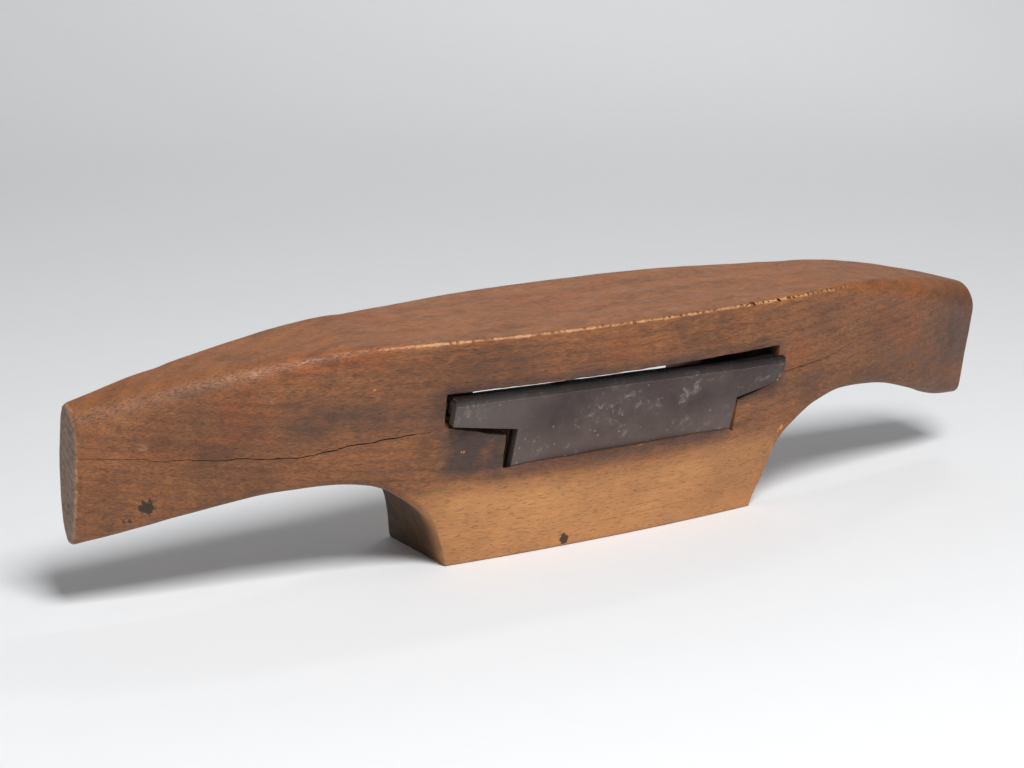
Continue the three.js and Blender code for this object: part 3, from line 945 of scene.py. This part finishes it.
def ring_lines(finish, where):
    """The year rings, as slow bands round a pith that lies far below and behind."""
    moved = finish.node("ShaderNodeVectorMath", {0: where, 1: (0, 0.085, -0.060)},
                        operation="SUBTRACT").outputs[0]
    leaning = finish.stretched(moved, 0.16, 1, 1)
    return finish.node("ShaderNodeTexWave", {
        "Vector": leaning, "Scale": 92, "Distortion": 2.6, "Detail": 3, "Detail Scale": 0.35,
        "Detail Roughness": 0.6}, wave_type="RINGS", rings_direction="X").outputs["Fac"]


def beech(name, ground, dark, pale, rust):
    """Plain beech: its finish, its place in the grain, its colour, and marks for more layers."""
    finish = Finish(name)
    where = grain_place(finish)
    along = finish.stretched(where, 1, 6.5, 6.5)
    rings = ring_lines(finish, where)
    broad = finish.noise(where, 17, 4, 0.6)
    patches = finish.noise(finish.stretched(where, 1, 1.9, 1.9), 24, 4, 0.62, 0.4)
    flecks = finish.ease(finish.noise(along, 340, 2.5, 0.5), 0.56, 0.70)
    hairs = finish.ease(finish.noise(finish.stretched(where, 1, 16, 16), 115, 3, 0.6), 0.5, 0.72)
    mottle = finish.noise(where, 150, 5, 0.7)
    fibre = finish.noise(finish.stretched(where, 1, 7, 7), 420, 4, 0.7)
    blotch = finish.noise(finish.stretched(where, 1, 2.4, 2.4), 62, 6, 0.75, 0.5)
    colour = finish.over(ground, dark, finish.ease(broad, 0.42, 0.72, 0, 0.55))
    colour = finish.over(colour, pale, finish.ease(mottle, 0.48, 0.75, 0, 0.35))
    colour = finish.over(colour, rust, finish.ease(patches, 0.5, 0.70, 0, 0.5))
    colour = finish.over(colour, dark, finish.ease(rings, 0.35, 1.0, 0, 0.20))
    colour = finish.over(colour, dark, finish.times(hairs, 0.5))
    colour = finish.over(colour, dark, finish.ease(fibre, 0.44, 0.66, 0, 0.55))
    colour = finish.over(colour, pale, finish.ease(fibre, 0.44, 0.28, 0, 0.4))
    colour = finish.over(colour, dark, finish.ease(blotch, 0.48, 0.66, 0, 0.5))
    return finish, where, colour, {"flecks": flecks, "hairs": hairs, "rings": rings,
                                   "broad": broad, "patches": patches, "mottle": mottle, "fibre": fibre}


def aged(finish, where, colour, marks):
    """The stock's pale foot and paler top face, smudges partly painted shade, painted shade in the
    left arch, rubbed arrises with a painted highlight, and iron stains with painted shadow.
    """
    broad, patches = marks["broad"], marks["patches"]
    pale_foot = finish.times(finish.mask("foot"), finish.ease(broad, 0.3, 0.6, 0.95, 0.6))
    colour = finish.over(colour, paint(230, 166, 104), finish.times(pale_foot, 0.58))
    # the top face tinted a little paler and warmer
    toe_face = finish.times(finish.mask("toe_face"), finish.ease(patches, 0.3, 0.6, 1, 0.4))
    colour = finish.over(colour, paint(160, 102, 58), finish.times(toe_face, 0.3))
    colour = finish.over(colour, paint(70, 45, 32), finish.times(marks["flecks"], 0.36))
    ragged = marks["ragged"]
    smudge_and_shade = finish.times(finish.mask("smudge_and_shade"), finish.ease(ragged, 0.3, 0.6, 0.35, 1))
    # smudges: dirt, and painted shade on the far right handle and on the wood above the iron
    colour = finish.over(colour, paint(66, 51, 45), finish.times(smudge_and_shade, 0.72))
    # wear and a painted highlight: the pale rubbed arrises also stand in for the glint on the front-top
    # arris
    broken = finish.noise(where, 260, 5, 0.75)
    rubbed = finish.math("MULTIPLY_ADD", broken, 2.2, finish.mask("wear"))
    marks["rubbed"] = finish.ease(rubbed, 1.5, 2.2)
    colour = finish.over(colour, paint(222, 172, 128), finish.times(marks["rubbed"], 0.6))
    stain_and_shadow = finish.times(finish.mask("stain_and_shadow"), finish.ease(ragged, 0.28, 0.56, 0.5, 1))
    # iron stains, and painted shadow under the proud ears and round the mouth
    colour = finish.over(colour, paint(56, 48, 47), finish.times(stain_and_shadow, 0.88))
    # painted shade in the left arch, under the handle
    return finish.over(colour, paint(40, 34, 31), finish.times(finish.mask("arch_shade"), 0.8))


def knocked(finish, where, colour, marks):
    """Pale dots and scratches, chips of bare wood, and black spots."""
    dots = finish.specks(where, 90, 0.045, 0.3)
    clear_of_stain_and_shadow = finish.ease(finish.mask("stain_and_shadow"), 0, 0.1, 0.7, 0)
    colour = finish.over(colour, paint(214, 160, 104), finish.times(dots, clear_of_stain_and_shadow))
    marks["scratches"] = finish.times(
        finish.fine_lines(finish.stretched(where, 0.5, 3.2, 2.4), 44, 0.005, 0.2),
        finish.ease(finish.noise(where, 60, 2), 0.54, 0.64))
    colour = finish.over(colour, paint(205, 160, 120), finish.times(marks["scratches"], 0.2))
    for spot in BARE_CHIPS:
        colour = finish.over(colour, paint(216, 132, 66), blot(finish, where, *spot))
    for spot in BLACK_SPOTS:
        black = finish.times(blot(finish, where, *spot), 0.9)
        colour = finish.over(colour, paint(42, 33, 28), black)
    return colour


def sawn_ends(finish, where, colour, marks):
    """Grey end grain over both end faces."""
    x_of = finish.node("ShaderNodeSeparateXYZ", {0: where}).outputs[0]
    marks["end"] = finish.ease(finish.math("ABSOLUTE", x_of), (HALF_LENGTH - 0.9) * MM,
                               (HALF_LENGTH - 0.2) * MM)
    pores = finish.ease(finish.noise(finish.stretched(where, 0.2, 1, 1), 900, 2), 0.45, 0.7)
    grain = finish.over(paint(152, 124, 104), paint(112, 88, 74), pores)
    grain = finish.over(grain, paint(112, 88, 72), finish.times(marks["rings"], 0.4))
    dust = finish.ease(marks["ragged"], 0.5, 0.75, 0, 0.5)
    grain = finish.over(grain, paint(176, 148, 124), dust)
    return finish.over(colour, grain, marks["end"])


def stock_beech():
    finish, where, colour, marks = beech(
        "old oiled beech", paint(149, 93, 55), paint(76, 50, 35), paint(182, 126, 80),
        paint(158, 82, 38))
    marks["ragged"] = finish.noise(where, 95, 5, 0.65)
    colour = aged(finish, where, colour, marks)
    colour = knocked(finish, where, colour, marks)
    colour = sawn_ends(finish, where, colour, marks)
    # painted shade: the walls of the cut cavities painted dark brown
    recess_shade = finish.mask("recess_shade")
    colour = finish.over(colour, paint(40, 29, 23), finish.times(recess_shade, 0.80))
    finish.set("Base Color", colour)
    finish.set("Specular IOR Level", 0.35)
    gloss = finish.ease(marks["mottle"], 0.3, 0.7, 0.40, 0.58)
    for mark, change in [(marks["rubbed"], -0.06), (recess_shade, 0.3), (marks["end"], 0.12)]:
        gloss = finish.math("ADD", gloss, finish.times(mark, change))
    finish.set("Roughness", gloss)
    finish.relief([
        (finish.noise(where, 220, 4, 0.6), 0.16),
        (finish.math("SUBTRACT", 0, marks["flecks"]), 0.09),
        (finish.math("SUBTRACT", 0, marks["hairs"]), 0.07),
        (finish.math("SUBTRACT", 0, marks["scratches"]), 0.10),
        (marks["fibre"], 0.05),
        (finish.noise(where, 1500, 3, 0.6), 0.035),
    ])
    return finish.material


def dress(piece, material):
    """Gives the piece that one finish."""
    piece.data.materials.clear()
    piece.data.materials.append(material)


dress(stock, stock_beech())
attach(stock, "stock_body")
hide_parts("stock")
print("beech finish:", len(stock.data.materials[0].node_tree.nodes), "nodes")

# %% [markdown]
# ## The irons' own axes
# The two irons, their screws and the wedge all lie parallel, tilted 6 degrees more than the
# stock and a degree askew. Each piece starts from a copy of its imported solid, brought into the
# irons' axes: x along the edge, t in from the cutter's face, s up the iron.
# %% From the frame to the irons' axes
IRON_SKEW = math.radians(1.05)
to_frame = (
    Matrix.Translation(from_stock(0, 0, 0))
    @ Matrix.Rotation(STOCK_LEAN, 4, "X")
    @ Matrix.Translation(Vector((0, IRON_DEPTH, IRON_FOOT)) * MM)
    @ Matrix.Rotation(IRON_TILT, 4, "X")
    @ Matrix.Rotation(IRON_SKEW, 4, "Y")
)
to_irons = to_frame.inverted()


def packed_copy(node, name):
    """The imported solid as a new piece, its loose triangles merged, in the irons' axes."""
    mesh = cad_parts[node].data.copy()
    mesh.materials.clear()
    mesh.transform(to_irons)
    work = bmesh.new()
    work.from_mesh(mesh)
    bmesh.ops.remove_doubles(work, verts=work.verts, dist=0.02 * MM)
    bmesh.ops.dissolve_limit(work, angle_limit=math.radians(0.5), verts=work.verts,
                             edges=work.edges)
    work.to_mesh(mesh)
    work.free()
    piece = bpy.data.objects.new(name, mesh)
    bpy.context.scene.collection.objects.link(piece)
    return piece


cutter = packed_copy("cutting_iron", "iron_plate")
edge_height = max(corner.co.z for corner in cutter.data.vertices) / MM
print("cutting edge is", round(edge_height, 2), "mm up the iron")

# %% [markdown]
# ## Forged plates
# A forged iron is nearly flat, its edges filed by hand and then knocked about. The copy is sliced
# into a fine grid, so that there are points to move, its sharp edges are eased, and then slow
# noise moves every point. Both irons use the same noise, so the gap between them stays even.
# %% Worked plates
GRID_STEP = 2.0
PLATE_BEVEL = 0.28
PLATE_WOBBLE = (0.16, 14, 0.07)
BEVEL_WIDTH = 2.1
SLIVER = 0.6  # square mm: the largest face of an eased edge


def gridded(piece, step_mm, axes):
    """Slices the piece at even steps along the given axes, so that its faces have points."""
    work = bmesh.new()
    work.from_mesh(piece.data)
    for axis in axes:
        values = [corner.co[axis] / MM for corner in work.verts]
        count = int((max(values) - min(values)) / step_mm)
        for i in range(1, count + 1):
            cut = min(values) + i * step_mm + 0.013
            origin, normal = Vector((0, 0, 0)), Vector((0, 0, 0))
            origin[axis], normal[axis] = cut * MM, 1
            parts = [*work.verts, *work.edges, *work.faces]
            bmesh.ops.bisect_plane(work, geom=parts, plane_co=origin, plane_no=normal)
    work.to_mesh(piece.data)
    work.free()


def eased_edges(piece, width_mm, segments=3):
    """Rounds the piece's sharp edges with a bevel."""
    bevel = piece.modifiers.new("eased edges", "BEVEL")
    bevel.width = width_mm * MM
    bevel.segments = segments
    bevel.limit_method = "ANGLE"
    bevel.angle_limit = math.radians(25)
    bevel.harden_normals = False
    apply_modifiers(piece)


def wobble(piece, amount_mm, reach_mm, fine_mm):
    """Moves points sideways by slow noise, and a little by quick noise."""
    for corner in piece.data.vertices:
        at = corner.co / MM
        slow = noise.noise_vector(at / reach_mm)
        quick = noise.noise_vector(at / 2.1 + Vector((5, 3, 1)))
        shift = slow * amount_mm + quick * fine_mm
        corner.co += Vector((shift.x, 0.35 * shift.y, shift.z)) * MM


def edge_wear(piece):
    """The "wear" attribute: 1 where every face round a point is a sliver of an eased edge."""
    work = bmesh.new()
    work.from_mesh(piece.data)
    worn = [float(max(face.calc_area() for face in corner.link_faces) < SLIVER * MM**2)
            for corner in work.verts]
    work.free()
    set_attribute(piece.data, "wear", worn)


def rim_wear(piece):
    """The "wear" attribute: 1 at a sharp edge, 0 on the flats."""
    mesh = piece.data
    work = bmesh.new()
    work.from_mesh(mesh)
    worn = []
    for corner in work.verts:
        angles = [edge.calc_face_angle(0) for edge in corner.link_edges]
        worn.append(min(1.0, max(angles) / math.radians(30)))
    work.free()
    set_attribute(mesh, "wear", worn)


def bevel_shade(piece, reach_mm):
    """The attribute that marks the filed band along the top of an iron, for its painted shade."""
    heights = [corner.co.z / MM for corner in piece.data.vertices]
    start = max(heights) - reach_mm
    set_attribute(piece.data, "bevel_shade", [smooth(one, start - 0.3, start + 0.2) for one in heights])


def finish_plate(piece, node, body, material):
    """Brings a worked piece back to its place, and ties it to its body."""
    face_out(piece)
    piece.data.transform(to_frame)
    piece.data.set_sharp_from_angle(angle=math.radians(35))
    dress(piece, material)
    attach(piece, body)
    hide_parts(node)
    print(piece.name, "has", len(piece.data.polygons), "faces")


def iron_patina():
    """Bare iron browned all over, rubbed lighter in patches, with fine pits."""
    finish = Finish("browned iron")
    where = finish.object
    broad = finish.noise(where, 38, 4, 0.6)
    cloud = finish.noise(where, 90, 5, 0.7, 0.6)
    fine = finish.noise(where, 700, 4, 0.7)
    rubs = finish.noise(where, 260, 5, 0.7, 0.6)
    colour = finish.over(paint(64, 50, 49), paint(82, 68, 64), finish.ease(broad, 0.38, 0.66))
    colour = finish.over(colour, paint(56, 44, 42), finish.ease(cloud, 0.52, 0.72, 0, 0.6))
    x_of, _, z_of = finish.node("ShaderNodeSeparateXYZ", {0: where}).outputs
    greyer = finish.ease(x_of, -0.030, -0.060)
    colour = finish.over(colour, paint(104, 95, 91), finish.times(greyer, 0.55))
    bright = finish.times(finish.ease(finish.noise(where, 75, 3, 0.6), 0.50, 0.64),
                          finish.ease(rubs, 0.50, 0.66))
    colour = finish.over(colour, paint(148, 136, 130), finish.times(bright, 0.6))
    dust = finish.specks(where, 520, 0.3, 0.16)
    dust = finish.times(dust, finish.ease(cloud, 0.46, 0.58))
    colour = finish.over(colour, paint(176, 160, 150), finish.times(dust, 0.6))
    rust = finish.times(finish.ease(finish.noise(where, 130, 4, 0.7), 0.60, 0.72),
                        finish.ease(broad, 0.6, 0.45))
    colour = finish.over(colour, paint(112, 66, 44), finish.times(rust, 0.5))
    lower = finish.ease(z_of, 0.054, 0.038)
    colour = finish.over(colour, paint(116, 98, 90), finish.times(lower, 0.38))
    # painted shade: the filed bevel band along the iron's top, painted nearly black
    colour = finish.over(colour, paint(15, 12, 11), finish.times(finish.mask("bevel_shade"), 0.92))
    # wear and a painted highlight: the eased edges painted pale, for rubbed metal and for their glint
    wear = finish.mask("wear")
    rubbed = finish.ease(finish.math("MULTIPLY_ADD", fine, 0.8, wear), 0.95, 1.4)
    colour = finish.over(colour, paint(214, 196, 182), finish.times(rubbed, 0.8))
    finish.set("Base Color", colour)
    finish.set("Metallic", finish.ease(rubbed, 0, 1, 0.25, 0.65))
    gloss = finish.ease(cloud, 0.35, 0.7, 0.44, 0.62)
    finish.set("Roughness", finish.math("ADD", gloss, finish.times(bright, -0.08)))
    finish.relief([
        (finish.noise(where, 160, 5, 0.65), 0.10),
        (finish.math("SUBTRACT", 0, finish.ease(fine, 0.52, 0.7)), 0.05),
        (finish.noise(where, 2200, 2, 0.6), 0.012),
    ])
    return finish.material


def forged(piece, node, body, patina):
    """Works one packed plate into a finished iron."""
    gridded(piece, GRID_STEP, (0, 2))
    eased_edges(piece, PLATE_BEVEL)
    edge_wear(piece)
    bevel_shade(piece, BEVEL_WIDTH)
    wobble(piece, *PLATE_WOBBLE)
    finish_plate(piece, node, body, patina)


patina = iron_patina()
forged(cutter, "cutting_iron", "cutter", patina)
forged(packed_copy("cap_iron", "cap_plate"), "cap_iron", "cap", patina)

# %% [markdown]
# ## Cap screws
# Two slotted screws hold the cap iron to the cutter. A screw is turned, so its tree adds turned
# parts: a core, a chamfered head, and a thread, which is one ridge repeated up the shank. A
# Mesh Boolean node joins them and takes out the slot. The same tree makes both screws.
# %% Screws
THREAD_PITCH = 0.9
THREAD_TURNS = 6
SHANK_RADIUS, HEAD_RADIUS = 2.45, 4.9
TIP_T, SEAT_T, HEAD_TOP_T = 0.4, 6.6, 9.0  # in from the cutter's face, mm
SLOT_WIDTH = 1.2
SCREW_SPACING = 56
STEM_OFFSET = 3.6
SCREW_S = -9


def screw_tree(material):
    tree, given, result = node_tree("slotted_cap_screw", [
        ("Shank radius", "NodeSocketFloat"), ("Shank length", "NodeSocketFloat"),
        ("Head radius", "NodeSocketFloat"), ("Head thickness", "NodeSocketFloat"),
        ("Thread pitch", "NodeSocketFloat"), ("Thread turns", "NodeSocketInt"),
        ("Slot width", "NodeSocketFloat")])

    def sum_of(*values):
        total = values[0]
        for value in values[1:]:
            total = place(tree, "ShaderNodeMath", {0: total, 1: value}, operation="ADD").outputs[0]
        return total

    def share(value, part):
        return place(tree, "ShaderNodeMath", {0: value, 1: part}, operation="MULTIPLY").outputs[0]

    def turned(bottom_radius, top_radius, depth, height):
        """A cone or cylinder on the screw's axis, whose foot is at that height."""
        cone = place(tree, "GeometryNodeMeshCone", {
            "Vertices": 48, "Radius Bottom": bottom_radius, "Radius Top": top_radius,
            "Depth": depth})
        up = place(tree, "ShaderNodeCombineXYZ", {"Z": height})
        return place(tree, "GeometryNodeTransform",
                     {"Geometry": cone.outputs[0], "Translation": up.outputs[0]}).outputs[0]

    radius, length = given.outputs["Shank radius"], given.outputs["Shank length"]
    head, thick = given.outputs["Head radius"], given.outputs["Head thickness"]
    pitch = given.outputs["Thread pitch"]
    core = turned(share(radius, 0.86), share(radius, 0.86), sum_of(length, share(thick, 0.5)), 0.0)
    disc = turned(share(head, 0.96), head, share(thick, 0.2), length)
    drum = turned(head, head, share(thick, 0.5), sum_of(length, share(thick, 0.19)))
    crown = turned(head, share(head, 0.8), share(thick, 0.32), sum_of(length, share(thick, 0.68)))
    ridge = place(tree, "GeometryNodeJoinGeometry")
    tree.links.new(turned(share(radius, 0.8), radius, share(pitch, 0.42), 0.0), ridge.inputs[0])
    upper = turned(radius, share(radius, 0.8), share(pitch, 0.42), share(pitch, 0.41))
    one_ridge = place(tree, "GeometryNodeMeshBoolean", operation="UNION", solver="EXACT")
    tree.links.new(ridge.outputs[0], one_ridge.inputs[1])
    tree.links.new(upper, one_ridge.inputs[1])
    step_up = place(tree, "ShaderNodeCombineXYZ", {"Z": pitch})
    start_up = place(tree, "ShaderNodeCombineXYZ", {"Z": share(pitch, 0.3)})
    row = place(tree, "GeometryNodeMeshLine", {
        "Count": given.outputs["Thread turns"], "Start Location": start_up.outputs[0],
        "Offset": step_up.outputs[0]}, mode="OFFSET")
    thread = place(tree, "GeometryNodeInstanceOnPoints", {
        "Points": row.outputs[0], "Instance": one_ridge.outputs[0]})
    thread_real = place(tree, "GeometryNodeRealizeInstances", {"Geometry": thread.outputs[0]})
    body = place(tree, "GeometryNodeMeshBoolean", operation="UNION", solver="EXACT")
    for part in (core, disc, drum, crown, thread_real.outputs[0]):
        tree.links.new(part, body.inputs[1])
    bar_size = place(tree, "ShaderNodeCombineXYZ", {
        "X": given.outputs["Slot width"], "Y": share(head, 3), "Z": share(thick, 0.9)})
    bar = place(tree, "GeometryNodeMeshCube", {"Size": bar_size.outputs[0]})
    bar_up = place(tree, "ShaderNodeCombineXYZ", {"Z": sum_of(length, thick)})
    bar_placed = place(tree, "GeometryNodeTransform",
                       {"Geometry": bar.outputs[0], "Translation": bar_up.outputs[0]})
    slotted = place(tree, "GeometryNodeMeshBoolean", {0: body.outputs[0]},
                    operation="DIFFERENCE", solver="EXACT")
    tree.links.new(bar_placed.outputs[0], slotted.inputs[1])
    real = place(tree, "GeometryNodeRealizeInstances", {"Geometry": slotted.outputs[0]})
    coloured = place(tree, "GeometryNodeSetMaterial", {"Geometry": real.outputs[0]})
    coloured.inputs["Material"].default_value = material
    tree.links.new(coloured.outputs[0], result.inputs[0])
    return tree


def screw_steel():
    """Turned steel gone brown, bright round the head's rim where a driver has slipped."""
    finish = Finish("old screw steel")
    where = finish.object
    cloud = finish.noise(where, 260, 4, 0.65)
    turning = finish.noise(finish.stretched(where, 1, 5, 1), 900, 2, 0.5)
    colour = finish.over(paint(84, 76, 70), paint(48, 38, 34), finish.ease(cloud, 0.42, 0.62))
    colour = finish.over(colour, paint(118, 68, 42), finish.ease(cloud, 0.62, 0.74, 0, 0.7))
    rubbed = finish.times(finish.mask("wear"), finish.ease(turning, 0.35, 0.6))
    colour = finish.over(colour, paint(160, 150, 140), finish.times(rubbed, 0.7))
    finish.set("Base Color", colour)
    finish.set("Metallic", 0.8)
    finish.set("Roughness", finish.ease(cloud, 0.35, 0.7, 0.34, 0.6))
    finish.relief([(cloud, 0.05), (turning, 0.012)])
    return finish.material


def cap_screw(name, node, body, x, steel, turn):
    """One screw, stood on its axis along t, turned by "turn" degrees, in its hole."""
    piece = plain_mesh(name, [], [])
    run_tree(piece, screw_tree(steel), {
        "Shank radius": SHANK_RADIUS * MM, "Shank length": (SEAT_T - TIP_T) * MM,
        "Head radius": HEAD_RADIUS * MM, "Head thickness": (HEAD_TOP_T - SEAT_T) * MM,
        "Thread pitch": THREAD_PITCH * MM, "Thread turns": THREAD_TURNS,
        "Slot width": SLOT_WIDTH * MM})
    axis = Matrix.Rotation(-math.pi / 2, 4, "X")
    piece.data.transform(Matrix.Rotation(math.radians(turn), 4, "Z"))
    piece.data.transform(axis)
    piece.data.transform(Matrix.Translation(Vector((x, TIP_T, SCREW_S)) * MM))
    rim_wear(piece)
    finish_plate(piece, node, body, steel)


steel = screw_steel()
for name, side, body, turn in [("left", -1, "left_screw", 20), ("right", 1, "right_screw", -35)]:
    cap_screw(f"screw_{name}", f"cap_screw_{name}", body,
              STEM_OFFSET + side * SCREW_SPACING / 2, steel, turn)

# %% [markdown]
# ## The wedge
# A plain wedge of the same beech, newer and paler, with two grooves that clear the screw heads.
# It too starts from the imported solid. Its head has been driven with a hammer, so the top is
# bruised: the points there are pushed in by quick noise.
# %% Wedge
WEDGE_GRID = 1.8
WEDGE_ARRIS = 0.35
BRUISE_DEPTH = 0.9
BRUISE_FROM, BRUISE_FULL = 7, 3  # mm below the head


def bruised(piece):
    """Pushes the top of the wedge down unevenly, as a hammer does."""
    top = max(corner.co.z for corner in piece.data.vertices) / MM
    for corner in piece.data.vertices:
        at = corner.co / MM
        share = smooth(at.z, top - BRUISE_FROM, top - BRUISE_FULL)
        knock = 0.5 + noise.noise(Vector((at.x / 5, at.y / 3, 3)))
        corner.co.z -= BRUISE_DEPTH * share * max(0, knock) * MM


wedge = packed_copy("wedge", "wedge_wood")
gridded(wedge, WEDGE_GRID, (0, 2))
bruised(wedge)
eased_edges(wedge, WEDGE_ARRIS)
edge_wear(wedge)
wobble(wedge, 0.12, 16, 0.05)


def wedge_beech():
    finish, where, colour, marks = beech(
        "wedge beech", paint(166, 118, 74), paint(112, 76, 50), paint(196, 150, 104),
        paint(160, 98, 54))
    colour = finish.over(colour, paint(86, 56, 38), finish.times(marks["flecks"], 0.5))
    grime = finish.noise(where, 60, 4, 0.65)
    colour = finish.over(colour, paint(66, 50, 40), finish.ease(grime, 0.48, 0.72, 0.1, 0.7))
    rubbed = finish.times(finish.mask("wear"), finish.ease(grime, 0.3, 0.6, 1, 0.3))
    colour = finish.over(colour, paint(204, 160, 116), finish.times(rubbed, 0.4))
    finish.set("Base Color", colour)
    finish.set("Roughness", finish.ease(marks["mottle"], 0.3, 0.7, 0.5, 0.68))
    finish.relief([
        (finish.noise(where, 240, 4, 0.6), 0.12),
        (finish.math("SUBTRACT", 0, marks["flecks"]), 0.08),
        (finish.math("SUBTRACT", 0, marks["hairs"]), 0.07),
    ])
    return finish.material


finish_plate(wedge, "wedge", "wedge_body", wedge_beech())

# %% [markdown]
# ## The card's finish
# Studio card is plain pale paper: a faint tooth in its bump and a very slight tone in its colour.
# %% Card finish
card = Finish("studio card")
tooth = card.noise(card.object, 60, 3, 0.6)
card.set("Base Color", card.over(paint(236, 237, 238), paint(232, 234, 236), tooth))
card.set("Roughness", 0.75)
card.relief([(card.noise(card.object, 900, 2, 0.5), 0.02)])
dress(studio_card, card.material)
print("card dressed")
